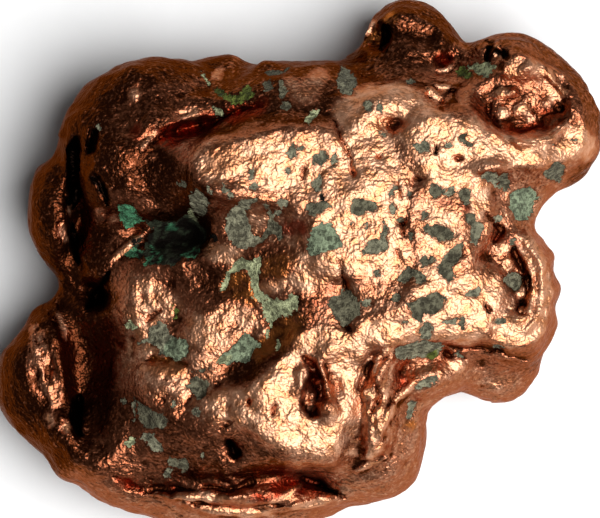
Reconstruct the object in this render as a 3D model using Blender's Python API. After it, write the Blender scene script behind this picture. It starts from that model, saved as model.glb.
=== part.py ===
"""A native copper nugget, lying on its broad underside: one solid piece of metal.

The outline is a cluster of lobes round a thick body. Each lobe is an ellipsoid; all of them
are fused by a voxel remesh and softened, and then pits, folds, ridges and knobs are worked
into the fused form as strokes that push its surface along Z or along its normals.

Lengths in the tables are millimetres. X and Y are as seen from above, Z is up, and the
origin is on the ground under the middle of the nugget.
"""

import math

import bpy
import numpy as np
from mathutils import Euler, Matrix, Vector

MM = 0.001

FORM_VOXEL = 0.5  # grid of the fused lobes
FORM_SMOOTHING = 16
DETAIL_VOXEL = 0.34  # grid of the finished surface
DETAIL_SMOOTHING = 2
STROKE_WOBBLE_SIZE = 1.6  # the strokes wander in random swings of about this length
BROAD_WOBBLE = 0.25
MEDIUM_WOBBLE = 0.15
CROWN_KNEE = 12.5  # above this height the form keeps CROWN_SLOPE of its rise
CROWN_SLOPE = 0.5
BASE_KNEE = 3.4  # below this height it keeps BASE_SLOPE of its fall
BASE_SLOPE = 0.5
KNEE_BLEND = 0.8
WORN_HEIGHT = 0.35  # whatever is lower is worn flat where the nugget rests
THINNING_ERROR = 0.05
SOLID_TRIANGLES = 9600

# name, centre (x, y, z), radii (x, y, z), then tip about X, lean about Y and turn about Z in degrees
LOBES = (
    ("body", (3.8, 0.6, 8.4), (11.6, 11.4, 10.4), (0, 0, 8)),
    ("left_slope", (-4.0, -2.4, 7.2), (13.4, 12.2, 7.2), (0, -32, 0)),
    ("left_bulk", (-10.8, -1.0, 5.4), (5.5, 9.0, 5.0), (0, 0, 0)),
    ("upper_slope", (0.2, 3.4, 7.6), (12.6, 10.1, 9.8), (0, -8, 0)),
    ("upper_left_boss", (-9.7, 7.4, 7.6), (6.5, 6.2, 6.6), (-10, -22, 0)),
    ("left_flap", (-16.4, 2.8, 6.0), (1.9, 3.9, 4.2), (0, 0, 6)),
    ("lower_left_lobe", (-16.2, -7.6, 6.0), (4.1, 5.0, 4.6), (0, 0, -12)),
    ("lower_left_corner", (-13.0, -11.8, 6.0), (6.0, 4.7, 5.4), (0, 0, -38)),
    ("lower_swell", (-4.6, -9.0, 7.2), (11.0, 7.8, 7.0), (10, -28, 0)),
    ("bottom_lip", (-3.6, -14.0, 5.8), (9.8, 4.5, 4.8), (0, 0, 2)),
    ("pitted_pad", (0.3, -9.0, 12.4), (6.0, 5.4, 5.2), (0, 0, 0)),
    ("lower_right_column", (4.3, -11.2, 7.0), (4.1, 5.4, 6.0), (0, 10, 12)),
    ("right_lobe", (12.8, -2.4, 9.2), (4.8, 5.5, 6.4), (0, 0, 8)),
    ("right_lobe_foot", (13.2, -6.8, 6.6), (3.0, 3.2, 4.2), (0, 0, 0)),
    ("top_right_crown", (14.0, 11.2, 8.2), (4.0, 4.1, 5.4), (0, 0, -20)),
    ("top_right_shoulder", (16.4, 8.4, 8.2), (3.9, 4.0, 5.8), (0, 0, -35)),
    ("top_right_corner", (15.9, 10.6, 8.0), (3.4, 4.2, 5.2), (0, 0, 35)),
    ("top_lobe", (7.3, 12.2, 7.2), (3.8, 6.2, 4.4), (-38, 0, 0)),
    ("top_lobe_heel", (4.4, 12.4, 6.2), (1.8, 1.7, 3.2), (0, 0, 0)),
    ("bridge", (10.2, 6.4, 10.8), (7.0, 5.0, 6.8), (-4, 0, -8)),
    ("upper_ridge", (-1.2, 5.8, 12.2), (7.8, 4.0, 6.2), (0, 2, 4)),
    ("right_plateau", (7.4, 0.0, 10.6), (7.2, 7.2, 8.4), (0, 0, 0)),
    ("upper_back_bump", (-5.0, 11.6, 6.0), (2.6, 2.3, 3.4), (0, 0, 0)),
)

# How a stroke's height fades from its path (0) to its reach (1).
PROFILES = {
    "swell": lambda d: 0.5 + 0.5 * np.cos(np.pi * d),
    "pit": lambda d: 1.0 - smooth_step(0.4, 1.0, d),
    "fold": lambda d: (1.0 - d) ** 2,
}
SWELL, PIT, FOLD = "swell", "pit", "fold"

# Strokes seen from above: name, profile, then (x, y, reach, height) along its path.
BROAD = (
    ("boss crease", FOLD, (
        (-2.5, 10.2, 0.8, -0.7), (-4.9, 9.5, 1.2, -2.0), (-7.5, 8.6, 1.3, -2.2),
        (-9.3, 7.8, 1.1, -1.4), (-10.6, 6.0, 1.1, -0.6),
    )),
    ("boss left slope", SWELL, ((-11.8, 9.8, 2.9, -0.9), (-9.8, 11.0, 2.9, -0.8), (-6.6, 11.5, 2.4, -0.5))),
    ("valley under ridge", SWELL, (
        (-11.8, 1.8, 2.3, -0.5), (-8.9, 1.9, 2.9, -1.3), (-4.6, 2.2, 2.3, -0.7),
        (-1.3, 1.8, 2.0, -0.4),
    )),
    ("upper ridge crest", SWELL, (
        (-6.2, 5.1, 2.8, 1.6), (-3.9, 5.4, 3.6, 1.5), (0.0, 5.7, 3.9, 1.0), (1.8, 3.7, 3.1, 0.7),
        (3.0, 1.2, 2.7, 0.6),
    )),
    ("crease right of ridge", FOLD, (
        (2.0, 9.6, 0.5, -0.5), (2.6, 7.8, 0.9, -1.0), (3.3, 5.5, 1.1, -1.0), (3.7, 4.5, 0.5, -0.3),
    )),
    ("plateau rise", SWELL, ((5.1, 8.5, 2.7, 0.7), (4.9, 5.2, 3.3, 0.9), (4.6, 1.2, 3.3, 0.6))),
    ("plateau valley", SWELL, ((7.1, 4.5, 1.7, -0.6), (7.3, 1.2, 1.7, -0.7), (6.6, -1.0, 2.0, -0.5))),
    ("plateau second rise", SWELL, ((9.8, 2.9, 2.9, 0.6), (10.2, -0.1, 2.9, 0.6), (7.9, -2.7, 2.7, 0.5))),
    ("bridge crest", SWELL, (
        (5.6, 10.6, 2.0, 0.5), (7.5, 8.6, 2.9, 0.9), (10.2, 7.2, 3.2, 1.2), (13.8, 6.8, 2.1, 1.3),
        (16.4, 7.3, 1.9, 1.4), (18.5, 7.8, 1.6, 1.0),
    )),
    ("bridge pit", PIT, ((8.7, 10.7, 1.3, -1.0),)),
    ("neck under top lobe", SWELL, (
        (3.4, 13.1, 1.5, -0.8), (10.0, 13.2, 1.7, -1.2), (11.8, 12.7, 1.7, -1.6),
    )),
    ("top lobe arch", SWELL, ((4.5, 15.0, 0.9, 0.6), (5.5, 16.1, 0.9, 0.6), (7.2, 16.1, 0.9, 0.3))),
    ("top lobe pit", PIT, ((4.7, 14.6, 0.9, -1.8), (5.5, 14.9, 0.9, -2.2))),
    ("top right bowl", PIT, ((13.6, 10.2, 2.4, -1.7), (16.1, 10.0, 2.5, -1.9))),
    ("top right bowl floor", SWELL, ((13.9, 10.2, 2.0, 1.3), (16.1, 10.2, 1.7, 0.9))),
    ("bowl groove", FOLD, (
        (16.1, 11.5, 0.8, -0.5), (17.6, 9.9, 0.9, -0.8), (16.1, 8.3, 0.9, -1.0),
        (13.5, 8.2, 0.9, -1.0), (12.1, 9.6, 0.8, -0.6),
    )),
    ("crown rim", SWELL, (
        (12.5, 11.7, 1.5, 0.7), (14.4, 12.9, 1.7, 1.0), (17.1, 11.7, 1.5, 1.0), (18.4, 9.6, 1.2, 0.7),
    )),
    ("right gully", SWELL, ((15.7, 3.9, 2.4, -1.8), (13.5, 4.8, 2.3, -1.3), (11.0, 4.4, 1.7, -0.6))),
    ("right lobe bowl", PIT, ((14.2, 0.2, 0.9, -1.4), (14.4, -1.7, 1.1, -2.2), (14.0, -3.5, 0.9, -1.4))),
    ("right lobe rim", SWELL, (
        (14.4, 1.5, 1.3, 0.6), (15.6, 0.5, 1.3, 0.9), (16.1, -2.0, 1.5, 1.0), (15.4, -4.4, 1.5, 0.9),
    )),
    ("right lobe gutter", SWELL, (
        (12.7, 1.8, 1.5, -1.0), (12.6, -0.2, 1.5, -0.9), (12.5, -1.4, 1.2, -0.5),
    )),
    ("lower right crest", SWELL, (
        (8.2, -4.1, 1.7, 0.6), (11.2, -4.1, 2.1, 1.0), (14.1, -5.1, 2.0, 1.1), (15.4, -5.0, 1.6, 0.8),
    )),
    ("lower right ledge", SWELL, (
        (6.6, -6.8, 1.7, -1.5), (9.2, -6.4, 1.7, -2.0), (11.8, -6.6, 1.7, -1.8),
        (14.1, -7.4, 1.7, -1.0),
    )),
    ("shelf roll", SWELL, ((8.5, -7.4, 1.2, 0.5), (11.2, -7.2, 1.2, 0.6))),
    ("pad rim", SWELL, (
        (-1.2, -7.5, 1.7, 0.3), (-2.9, -9.3, 2.4, 1.2), (-0.7, -11.6, 2.1, 0.6),
        (1.8, -11.7, 2.0, 0.7), (3.3, -9.8, 1.7, 0.8), (3.0, -7.0, 1.7, 0.7),
    )),
    ("pad ridge", SWELL, (
        (0.0, -5.7, 1.6, 0.6), (3.0, -6.0, 1.6, 0.8), (5.2, -5.0, 1.7, 0.8), (7.2, -4.1, 1.6, 0.5),
    )),
    ("pad pit", PIT, ((0.4, -6.8, 0.7, -1.4), (1.0, -8.5, 1.1, -3.0), (0.9, -10.0, 0.9, -2.4))),
    ("column valley", SWELL, ((4.7, -6.1, 1.3, -0.9), (4.2, -9.3, 1.6, -2.2), (3.7, -12.9, 1.7, -1.4))),
    ("column ridge", SWELL, (
        (5.8, -6.1, 0.8, 0.8), (5.1, -8.7, 0.8, 0.9), (5.8, -10.2, 0.9, 1.2), (4.6, -12.9, 0.8, 0.9),
    )),
    ("column second valley", SWELL, ((6.7, -7.4, 0.9, -0.8), (6.6, -10.6, 0.8, -0.8))),
    ("middle hollow", SWELL, (
        (-6.2, -0.6, 2.7, -0.5), (-3.9, -2.7, 3.3, -0.6), (-2.1, -4.7, 2.4, -0.9),
        (-4.1, -7.4, 2.0, -0.8),
    )),
    ("middle knobs", SWELL, ((-6.0, -5.0, 1.6, 0.3),)),
    ("left knob", SWELL, ((-10.0, -2.7, 2.4, 1.1), (-9.2, -3.1, 2.0, 0.5))),
    ("left knob below", SWELL, ((-8.9, -8.2, 1.7, 0.4),)),
    ("black pit", PIT, ((-10.6, 2.2, 1.2, -1.4), (-8.9, 1.5, 1.5, -2.6), (-7.2, 1.8, 1.5, -3.2))),
    ("upper left of pit", SWELL, ((-13.1, 4.5, 2.3, 0.4),)),
    ("flap crack", FOLD, (
        (-14.6, 7.8, 0.9, -1.8), (-14.8, 4.5, 1.1, -4.0), (-15.0, 1.2, 1.0, -3.6),
        (-14.8, -1.7, 0.8, -2.0),
    )),
    ("neck hollow", PIT, ((-13.6, -2.4, 1.3, -2.4),)),
    ("lobe valley", SWELL, (
        (-14.6, -4.7, 1.7, -1.2), (-14.3, -6.6, 2.3, -2.0), (-14.0, -9.6, 2.3, -2.1),
        (-13.8, -11.9, 1.9, -1.4),
    )),
    ("lobe crevice", FOLD, (
        (-15.4, -2.7, 0.8, -1.2), (-15.2, -6.6, 1.0, -1.5), (-14.8, -9.9, 1.1, -1.7),
        (-14.7, -12.1, 0.7, -0.8),
    )),
    ("lobe scoop", SWELL, ((-16.8, -5.6, 1.6, -0.4), (-16.9, -7.9, 1.9, -0.6), (-16.3, -10.6, 1.6, -0.5))),
    ("swell shoulder", SWELL, ((-8.9, -10.6, 4.0, 0.7), (-5.6, -10.6, 3.3, 0.6))),
    ("lower lip groove", FOLD, (
        (-10.5, -14.9, 0.8, -0.6), (-6.6, -14.8, 0.9, -1.2), (-2.6, -14.6, 1.2, -2.0),
        (0.7, -14.5, 1.5, -2.6), (2.5, -15.0, 0.9, -1.0),
    )),
    ("lower lip", SWELL, ((-9.2, -15.7, 1.1, 0.4), (-5.2, -15.9, 1.3, 0.8), (0.0, -16.0, 1.2, 0.8))),
)

# Smaller strokes seen from above, worked in after the broad ones.
MEDIUM = (
    ("pad pit ledge", SWELL, ((1.4, -9.1, 0.6, 0.8), (1.2, -9.6, 0.5, 0.6))),
    ("oval hole", PIT, ((-4.5, -12.1, 0.7, -0.9), (-4.2, -12.7, 0.7, -0.9))),
    ("plateau pit 1", PIT, ((2.7, -1.7, 0.8, -0.8), (3.1, -2.7, 0.8, -0.6))),
    ("plateau pit 2", PIT, ((2.8, -4.3, 0.7, -0.6),)),
    ("top lobe hole", PIT, ((5.6, 15.0, 0.7, -0.8), (5.4, 14.2, 0.6, -0.6))),
    ("crown curl", FOLD, ((13.0, 14.0, 0.6, -0.5), (13.3, 13.3, 0.7, -0.8), (13.0, 12.5, 0.7, -0.7))),
    ("right lobe teeth", SWELL, ((13.9, -0.2, 0.7, 0.7), (13.6, -1.7, 0.6, 0.6), (14.0, -2.7, 0.7, 0.7))),
    ("bridge pit rough", SWELL, ((8.4, 11.0, 0.6, 0.4), (9.3, 10.4, 0.6, 0.4))),
    ("lobe beads", SWELL, ((-16.0, -4.7, 0.6, 0.4), (-15.7, -7.9, 0.6, 0.4), (-15.6, -10.2, 0.5, 0.3))),
    ("lip crest", SWELL, (
        (-8.5, -15.8, 0.6, 0.4), (-5.2, -16.3, 0.7, 0.6), (0.0, -16.1, 0.7, 0.5),
        (2.0, -15.8, 0.6, 0.4),
    )),
    ("lip cavity", PIT, ((-1.0, -14.8, 0.8, -0.8), (0.8, -14.6, 0.9, -1.2), (1.7, -15.0, 0.7, -0.7))),
    ("shelf fold", FOLD, ((6.4, -5.8, 0.6, -0.5), (5.2, -6.6, 0.7, -0.7), (4.6, -7.9, 0.7, -0.7))),
    ("column blade", SWELL, ((6.4, -7.8, 0.6, 0.4), (5.8, -9.6, 0.7, 0.8), (5.2, -10.9, 0.6, 0.7))),
    ("column blade 2", SWELL, ((5.0, -12.4, 0.6, 0.6), (4.3, -13.5, 0.6, 0.4))),
)


# The same for the underside: positive heights are hollows, negative ones are bosses.
BELOW = (
    ("resting boss 1", SWELL, ((-10.6, -6.4, 6.4, -1.3), (-7.4, -8.2, 5.4, -0.8))),
    ("resting boss 2", SWELL, ((-8.4, 6.8, 5.8, -1.4),)),
    ("resting boss 3", SWELL, ((9.6, 5.6, 5.8, -1.7), (12.0, 7.4, 4.0, -1.0))),
    ("resting boss 4", SWELL, ((5.4, -7.6, 5.4, -1.4),)),
    ("hollow across", SWELL, (
        (-15.0, 0.6, 3.4, 0.8), (-6.0, -0.8, 4.4, 1.5), (3.0, 0.6, 4.2, 1.2), (12.0, -1.0, 3.2, 0.9),
    )),
    ("hollow along", SWELL, ((-2.0, 10.6, 3.2, 1.2), (0.6, 3.0, 3.4, 0.8), (-1.6, -10.6, 3.4, 1.3))),
    ("ledge", FOLD, (
        (-16.4, -2.6, 1.4, 0.8), (-10.0, -1.6, 2.2, 1.6), (-4.6, -4.4, 2.4, 1.6),
        (-2.6, -9.8, 1.8, 0.9),
    )),
    ("fold", FOLD, (
        (2.0, 11.0, 1.4, 0.8), (2.8, 5.4, 2.0, 1.5), (6.4, 0.6, 2.2, 1.6), (12.6, 1.2, 1.6, 0.9),
    )),
    ("pit 1", PIT, ((-12.6, 4.0, 1.9, 1.3),)),
    ("pit 2", PIT, ((-3.4, 4.4, 1.6, 1.4), (-2.2, 5.8, 1.3, 1.0))),
    ("pit 3", PIT, ((1.2, -4.8, 1.7, 1.5),)),
    ("pit 4", PIT, ((12.8, -3.6, 1.5, 1.2),)),
    ("knuckle 1", SWELL, ((-15.4, -9.4, 2.6, -1.1),)),
    ("knuckle 2", SWELL, ((-1.8, 13.0, 2.6, -1.0),)),
    ("knuckle 3", SWELL, ((0.2, -13.4, 3.0, -1.1),)),
)

# Round places anywhere on the surface: centre (x, y, z), reach, height.
DIMPLES = (
    (-18.4, -9.4, 2.6, 3.0, -0.8), (-12.6, -15.4, 3.0, 3.0, -0.9), (-3.2, -17.6, 2.0, 3.2, -0.9),
    (5.0, -16.4, 3.4, 2.8, -0.8), (8.8, -10.6, 4.6, 2.6, -0.8), (16.6, -5.0, 3.6, 2.8, -0.9),
    (15.0, 2.4, 4.0, 2.8, -0.8), (19.8, 8.0, 4.0, 3.0, -0.9), (16.0, 14.4, 3.4, 3.0, -0.9),
    (7.2, 16.6, 3.6, 2.6, -0.6), (0.6, 13.4, 3.6, 3.4, -1.0), (-8.2, 13.2, 3.2, 3.2, -0.9),
    (-15.2, 9.4, 3.6, 3.0, -0.9), (-17.4, 2.6, 2.6, 2.8, -0.7), (-14.6, -14.0, 9.4, 2.6, 0.4),
    (1.6, -15.6, 9.6, 2.8, 0.4), (17.0, -1.0, 10.6, 2.4, 0.3), (-2.4, 12.2, 9.8, 2.8, 0.4),
    (-11.8, 11.4, 10.0, 2.8, 0.4), (10.6, -8.0, 9.6, 2.4, 0.4), (18.4, 10.8, 10.8, 2.4, 0.3),
)

# Random swells: size, height below, height on the sides and top, seed.
SWELLS = ((5.0, 1.0, 0.25, 3), (2.4, 0.45, 0.2, 5))


def clear_scene():
    for obj in list(bpy.data.objects):
        bpy.data.objects.remove(obj)


def smooth_step(low, high, value):
    t = np.clip((value - low) / (high - low), 0.0, 1.0)
    return t * t * (3.0 - 2.0 * t)


def lattice_noise(points, size, seed):
    """Smooth random values from -1 to 1 over 3-D points, with cells of the given size."""
    cell = np.floor(points / size).astype(np.int64)
    part = points / size - cell
    part = part * part * (3.0 - 2.0 * part)
    total = np.zeros(len(points))
    for corner in range(8):
        step = np.array([corner & 1, corner >> 1 & 1, corner >> 2 & 1])
        at = cell + step
        mixed = (at[:, 0] * 73856093) ^ (at[:, 1] * 19349663) ^ (at[:, 2] * 83492791) ^ (seed * 2654435761)
        mixed = (mixed ^ (mixed >> 13)) * 1274126177 & 0x7FFFFFFF
        mixed = (mixed ^ (mixed >> 16)) & 0xFFFFFF
        weight = np.prod(np.where(step == 1, part, 1.0 - part), axis=1)
        total += weight * (mixed / 0x7FFFFF - 1.0)
    return total


def ellipsoid(name, centre, radii, angles, divisions=4):
    """One lobe, as an icosphere mesh in metres."""
    bpy.ops.mesh.primitive_ico_sphere_add(subdivisions=divisions, radius=1.0)
    lobe = bpy.context.object
    lobe.name = name
    place = (
        Matrix.Translation(Vector(centre) * MM)
        @ Euler([math.radians(angle) for angle in angles]).to_matrix().to_4x4()
        @ Matrix.Diagonal((*(r * MM for r in radii), 1.0))
    )
    lobe.data.transform(place)
    return lobe


def joined(objects, name):
    with bpy.context.temp_override(
        active_object=objects[0], selected_editable_objects=objects, selected_objects=objects
    ):
        bpy.ops.object.join()
    objects[0].name = name
    return objects[0]


def apply_modifiers(obj):
    graph = bpy.context.evaluated_depsgraph_get()
    mesh = bpy.data.meshes.new_from_object(obj.evaluated_get(graph))
    obj.modifiers.clear()
    old = obj.data
    obj.data = mesh
    bpy.data.meshes.remove(old)


def remesh(obj, voxel, smoothing):
    """Fuses what overlaps into one even skin, and rounds the creases between lobes."""
    skin = obj.modifiers.new("fuse", "REMESH")
    skin.mode = "VOXEL"
    skin.voxel_size = voxel * MM
    if smoothing:
        soften = obj.modifiers.new("soften", "SMOOTH")
        soften.factor = 0.5
        soften.iterations = smoothing
    apply_modifiers(obj)


def read_points(obj):
    """(points in mm, unit normals) of the mesh's vertices."""
    count = len(obj.data.vertices)
    points = np.empty(count * 3, np.float32)
    normals = np.empty(count * 3, np.float32)
    obj.data.vertices.foreach_get("co", points)
    obj.data.vertex_normals.foreach_get("vector", normals)
    return points.reshape(-1, 3).astype(float) / MM, normals.reshape(-1, 3).astype(float)


def write_points(obj, points):
    obj.data.vertices.foreach_set("co", (points * MM).astype(np.float32).ravel())
    obj.data.update()


def stroke_height(seen, profile, path):
    """The height in mm that one stroke adds at each (x, y)."""
    height = np.zeros(len(seen))
    path = np.array(path, float)
    ends = path[1:] if len(path) > 1 else path
    for start, end in zip(path, ends):
        along = end[:2] - start[:2]
        length = max(float(along @ along), 1e-9)
        t = np.clip(((seen - start[:2]) @ along) / length, 0.0, 1.0)
        gap = np.linalg.norm(seen - start[:2] - t[:, None] * along, axis=1)
        reach = start[2] + t * (end[2] - start[2])
        depth = start[3] + t * (end[3] - start[3])
        here = depth * PROFILES[profile](np.clip(gap / reach, 0.0, 1.0))
        height = np.where(np.abs(here) > np.abs(height), here, height)
    return height


def sculpt(obj, strokes, wobble, side):
    """Raises or sinks the upward surface (side 1) or the downward one (side -1) by each stroke."""
    points, normals = read_points(obj)
    seen = points[:, :2].copy()
    for axis in range(2):
        seen[:, axis] += wobble * lattice_noise(points, STROKE_WOBBLE_SIZE, 11 + axis)
    facing = smooth_step(0.0, 0.4, side * normals[:, 2])
    lift = sum(stroke_height(seen, profile, path) for _, profile, path in strokes)
    points[:, 2] += lift * facing
    write_points(obj, points)


def press(obj):
    """Flattens the form above the crown's knee and below the base's, and leaves its sides steep."""
    points, _ = read_points(obj)
    above = np.maximum(points[:, 2] - CROWN_KNEE, 0.0)
    below = np.maximum(BASE_KNEE - points[:, 2], 0.0)
    points[:, 2] -= (1.0 - CROWN_SLOPE) * above**2 / (above + KNEE_BLEND)
    points[:, 2] += (1.0 - BASE_SLOPE) * below**2 / (below + KNEE_BLEND)
    write_points(obj, points)


def dimple(obj):
    """Sinks or raises round places anywhere on the surface, along its normals."""
    points, normals = read_points(obj)
    push = np.zeros(len(points))
    for x, y, z, reach, height in DIMPLES:
        gap = np.linalg.norm(points - (x, y, z), axis=1) / reach
        push += height * PROFILES[SWELL](np.clip(gap, 0.0, 1.0))
    write_points(obj, points + normals * push[:, None])


def roughen(obj):
    """Smooth random swells of a few sizes, strongest on the underside."""
    points, normals = read_points(obj)
    below = smooth_step(0.0, 0.6, -normals[:, 2])
    push = np.zeros(len(points))
    for size, low_height, high_height, seed in SWELLS:
        push += (high_height + (low_height - high_height) * below) * lattice_noise(points, size, seed)
    write_points(obj, points + normals * push[:, None])


def wear_flat(obj, height):
    """Wears everything lower than this height flat onto the ground plane."""
    points, _ = read_points(obj)
    points[:, 2] = np.where(points[:, 2] < height, 0.0, points[:, 2])
    write_points(obj, points)


def centre(obj):
    """Puts the middle of the form's length and width on the Z axis."""
    points, _ = read_points(obj)
    points[:, :2] -= (points[:, :2].min(axis=0) + points[:, :2].max(axis=0)) / 2.0
    write_points(obj, points)


def build_form():
    lobes = [ellipsoid(*row) for row in LOBES]
    nugget = joined(lobes, "copper_nugget")
    remesh(nugget, FORM_VOXEL, FORM_SMOOTHING)
    press(nugget)
    sculpt(nugget, BROAD, BROAD_WOBBLE, 1.0)
    sculpt(nugget, BELOW, BROAD_WOBBLE, -1.0)
    dimple(nugget)
    roughen(nugget)
    sculpt(nugget, MEDIUM, MEDIUM_WOBBLE, 1.0)
    remesh(nugget, DETAIL_VOXEL, DETAIL_SMOOTHING)
    return nugget


def thin_out(obj):
    """Reduces the mesh to few triangles, larger where the surface is flat."""
    fewer = obj.modifiers.new("thin_out", "DECIMATE")
    fewer.use_collapse_triangulate = True
    fewer.ratio = SOLID_TRIANGLES / (2.0 * len(obj.data.polygons))
    apply_modifiers(obj)


def copper():
    metal = bpy.data.materials.new("native_copper")
    metal.use_nodes = True
    shader = metal.node_tree.nodes["Principled BSDF"]
    shader.inputs["Base Color"].default_value = (0.62, 0.29, 0.16, 1.0)
    shader.inputs["Metallic"].default_value = 1.0
    shader.inputs["Roughness"].default_value = 0.38
    return metal


def main():
    clear_scene()
    nugget = build_form()
    wear_flat(nugget, WORN_HEIGHT)
    thin_out(nugget)
    wear_flat(nugget, THINNING_ERROR)
    centre(nugget)
    nugget.data.materials.append(copper())
    nugget.data.shade_smooth()


main()
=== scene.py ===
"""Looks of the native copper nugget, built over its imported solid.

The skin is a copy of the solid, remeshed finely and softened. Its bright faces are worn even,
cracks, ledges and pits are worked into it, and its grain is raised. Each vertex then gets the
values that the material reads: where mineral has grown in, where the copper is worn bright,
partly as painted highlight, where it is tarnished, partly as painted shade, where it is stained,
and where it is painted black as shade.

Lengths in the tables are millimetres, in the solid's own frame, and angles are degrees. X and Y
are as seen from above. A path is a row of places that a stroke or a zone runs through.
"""

import math

import bpy
import numpy as np
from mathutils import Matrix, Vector


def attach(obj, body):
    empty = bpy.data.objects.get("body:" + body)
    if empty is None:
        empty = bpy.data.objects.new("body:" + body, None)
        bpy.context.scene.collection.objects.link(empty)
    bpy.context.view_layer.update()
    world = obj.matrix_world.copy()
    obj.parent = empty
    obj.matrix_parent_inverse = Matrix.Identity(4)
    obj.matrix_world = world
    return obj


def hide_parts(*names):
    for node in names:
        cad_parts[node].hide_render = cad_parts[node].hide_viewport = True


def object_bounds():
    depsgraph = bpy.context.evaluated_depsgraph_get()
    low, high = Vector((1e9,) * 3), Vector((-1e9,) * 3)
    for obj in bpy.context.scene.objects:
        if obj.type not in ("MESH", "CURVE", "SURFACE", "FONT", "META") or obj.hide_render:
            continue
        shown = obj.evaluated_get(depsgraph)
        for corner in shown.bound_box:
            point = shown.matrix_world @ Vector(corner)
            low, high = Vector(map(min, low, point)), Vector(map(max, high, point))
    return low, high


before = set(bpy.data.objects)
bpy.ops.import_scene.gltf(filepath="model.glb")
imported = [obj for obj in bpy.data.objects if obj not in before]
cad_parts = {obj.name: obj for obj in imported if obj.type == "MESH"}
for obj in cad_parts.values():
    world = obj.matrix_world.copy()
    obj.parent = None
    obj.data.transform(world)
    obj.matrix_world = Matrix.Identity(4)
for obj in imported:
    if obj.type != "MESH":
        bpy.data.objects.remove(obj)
CAD_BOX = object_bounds()

MM = 0.001
NODE = "copper_nugget"

SKIN_VOXEL = 0.2
SKIN_SMOOTHING = 26

# Relief raised in the mesh: size, height, seed. Hammered copper all over, grains where it is crumbly.
HAMMERED = ((2.2, 0.12, 24), (1.1, 0.11, 25), (0.6, 0.055, 26))
GRAINS = ((1.5, 0.20, 21), (0.8, 0.15, 22), (0.45, 0.08, 23))
GRAIN_LEVEL = 0.35  # where a grain's dome crosses the surface, as its distance in cells, squared
MINERAL_CALM = 0.3  # how much flatter the relief is on mineral

# Random swings of paths and edges, so that they look grown: size, reach.
RAGGED = ((1.4, 0.16), (0.7, 0.12), (0.35, 0.08))
FACET_SWING = (2.0, 0.3)
CHIP_SWING = (0.6, 0.1)
MINERAL_SWING = (0.5, 0.10)
MINERAL_FRAY = (0.25, 0.06)

SEEDS = {
    "strokes": 31, "facets": 33, "chips": 35, "mineral": 41, "mineral fray": 43, "bright": 51,
    "tarnish_and_shade": 53, "red": 55, "orange": 57, "black": 59, "crumbs": 61, "crystals": 71,
}

# How bright copper is worn even, before and after the facets: strength, rounds of averaging.
WORN_FIRST = (0.8, 260)
WORN_LAST = (0.6, 50)

# Rounds of averaging that show how deep a point lies in a wide or in a fine hollow.
# The material paints the hollows darker with them, partly as patina and partly as painted shade.
WIDE_HOLLOW, FINE_HOLLOW = 60, 8

# From where an effect starts to where it is whole, as the Z of the surface's normal.
MOVED = (0.0, 0.4)
COLOURED = (-0.1, 0.2)
TARNISHED_AND_SHADED = (-1.2, 0.0)
STEEP = (0.7, 0.1)
MINERAL_FACING = 0.05

# From where a facet or a chip is whole to where it ends, as a share of its ellipse.
FACET_FADE = (0.5, 1.0)
CHIP_FADE = (0.6, 1.1)

SOFT_EDGE = 1.2  # a zone fades out at this many times its reach
PATCH_DEPTH = 0.10  # mineral lies this much lower than the copper round it
PATCH_BANK = (-0.05, 0.12)  # the bank down to it starts and ends this far inside its edge
DARKENING = 0.55  # how much darker tarnished copper and painted shade get from 1 to 2
STEEP_SIDE_SHADE = 0.35  # painted shade: how much darker the steep sides are painted
DULL = 0.7  # how tarnished the copper is where no zone says
FAR = 9.0  # further than any place that counts

# The profiles of strokes.
SWELL, PIT, FOLD = "swell", "pit", "fold"

# The hues of the mineral.
GREY = (0.150, 0.145, 0.095)
TEAL = (0.040, 0.140, 0.070)
SAGE = (0.150, 0.185, 0.115)
PALE = (0.280, 0.300, 0.165)
OLIVE = (0.075, 0.095, 0.018)
DARK = (0.095, 0.090, 0.057)
MOSS = (0.020, 0.028, 0.016)
BLACK = (0.002, 0.003, 0.002)

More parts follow.
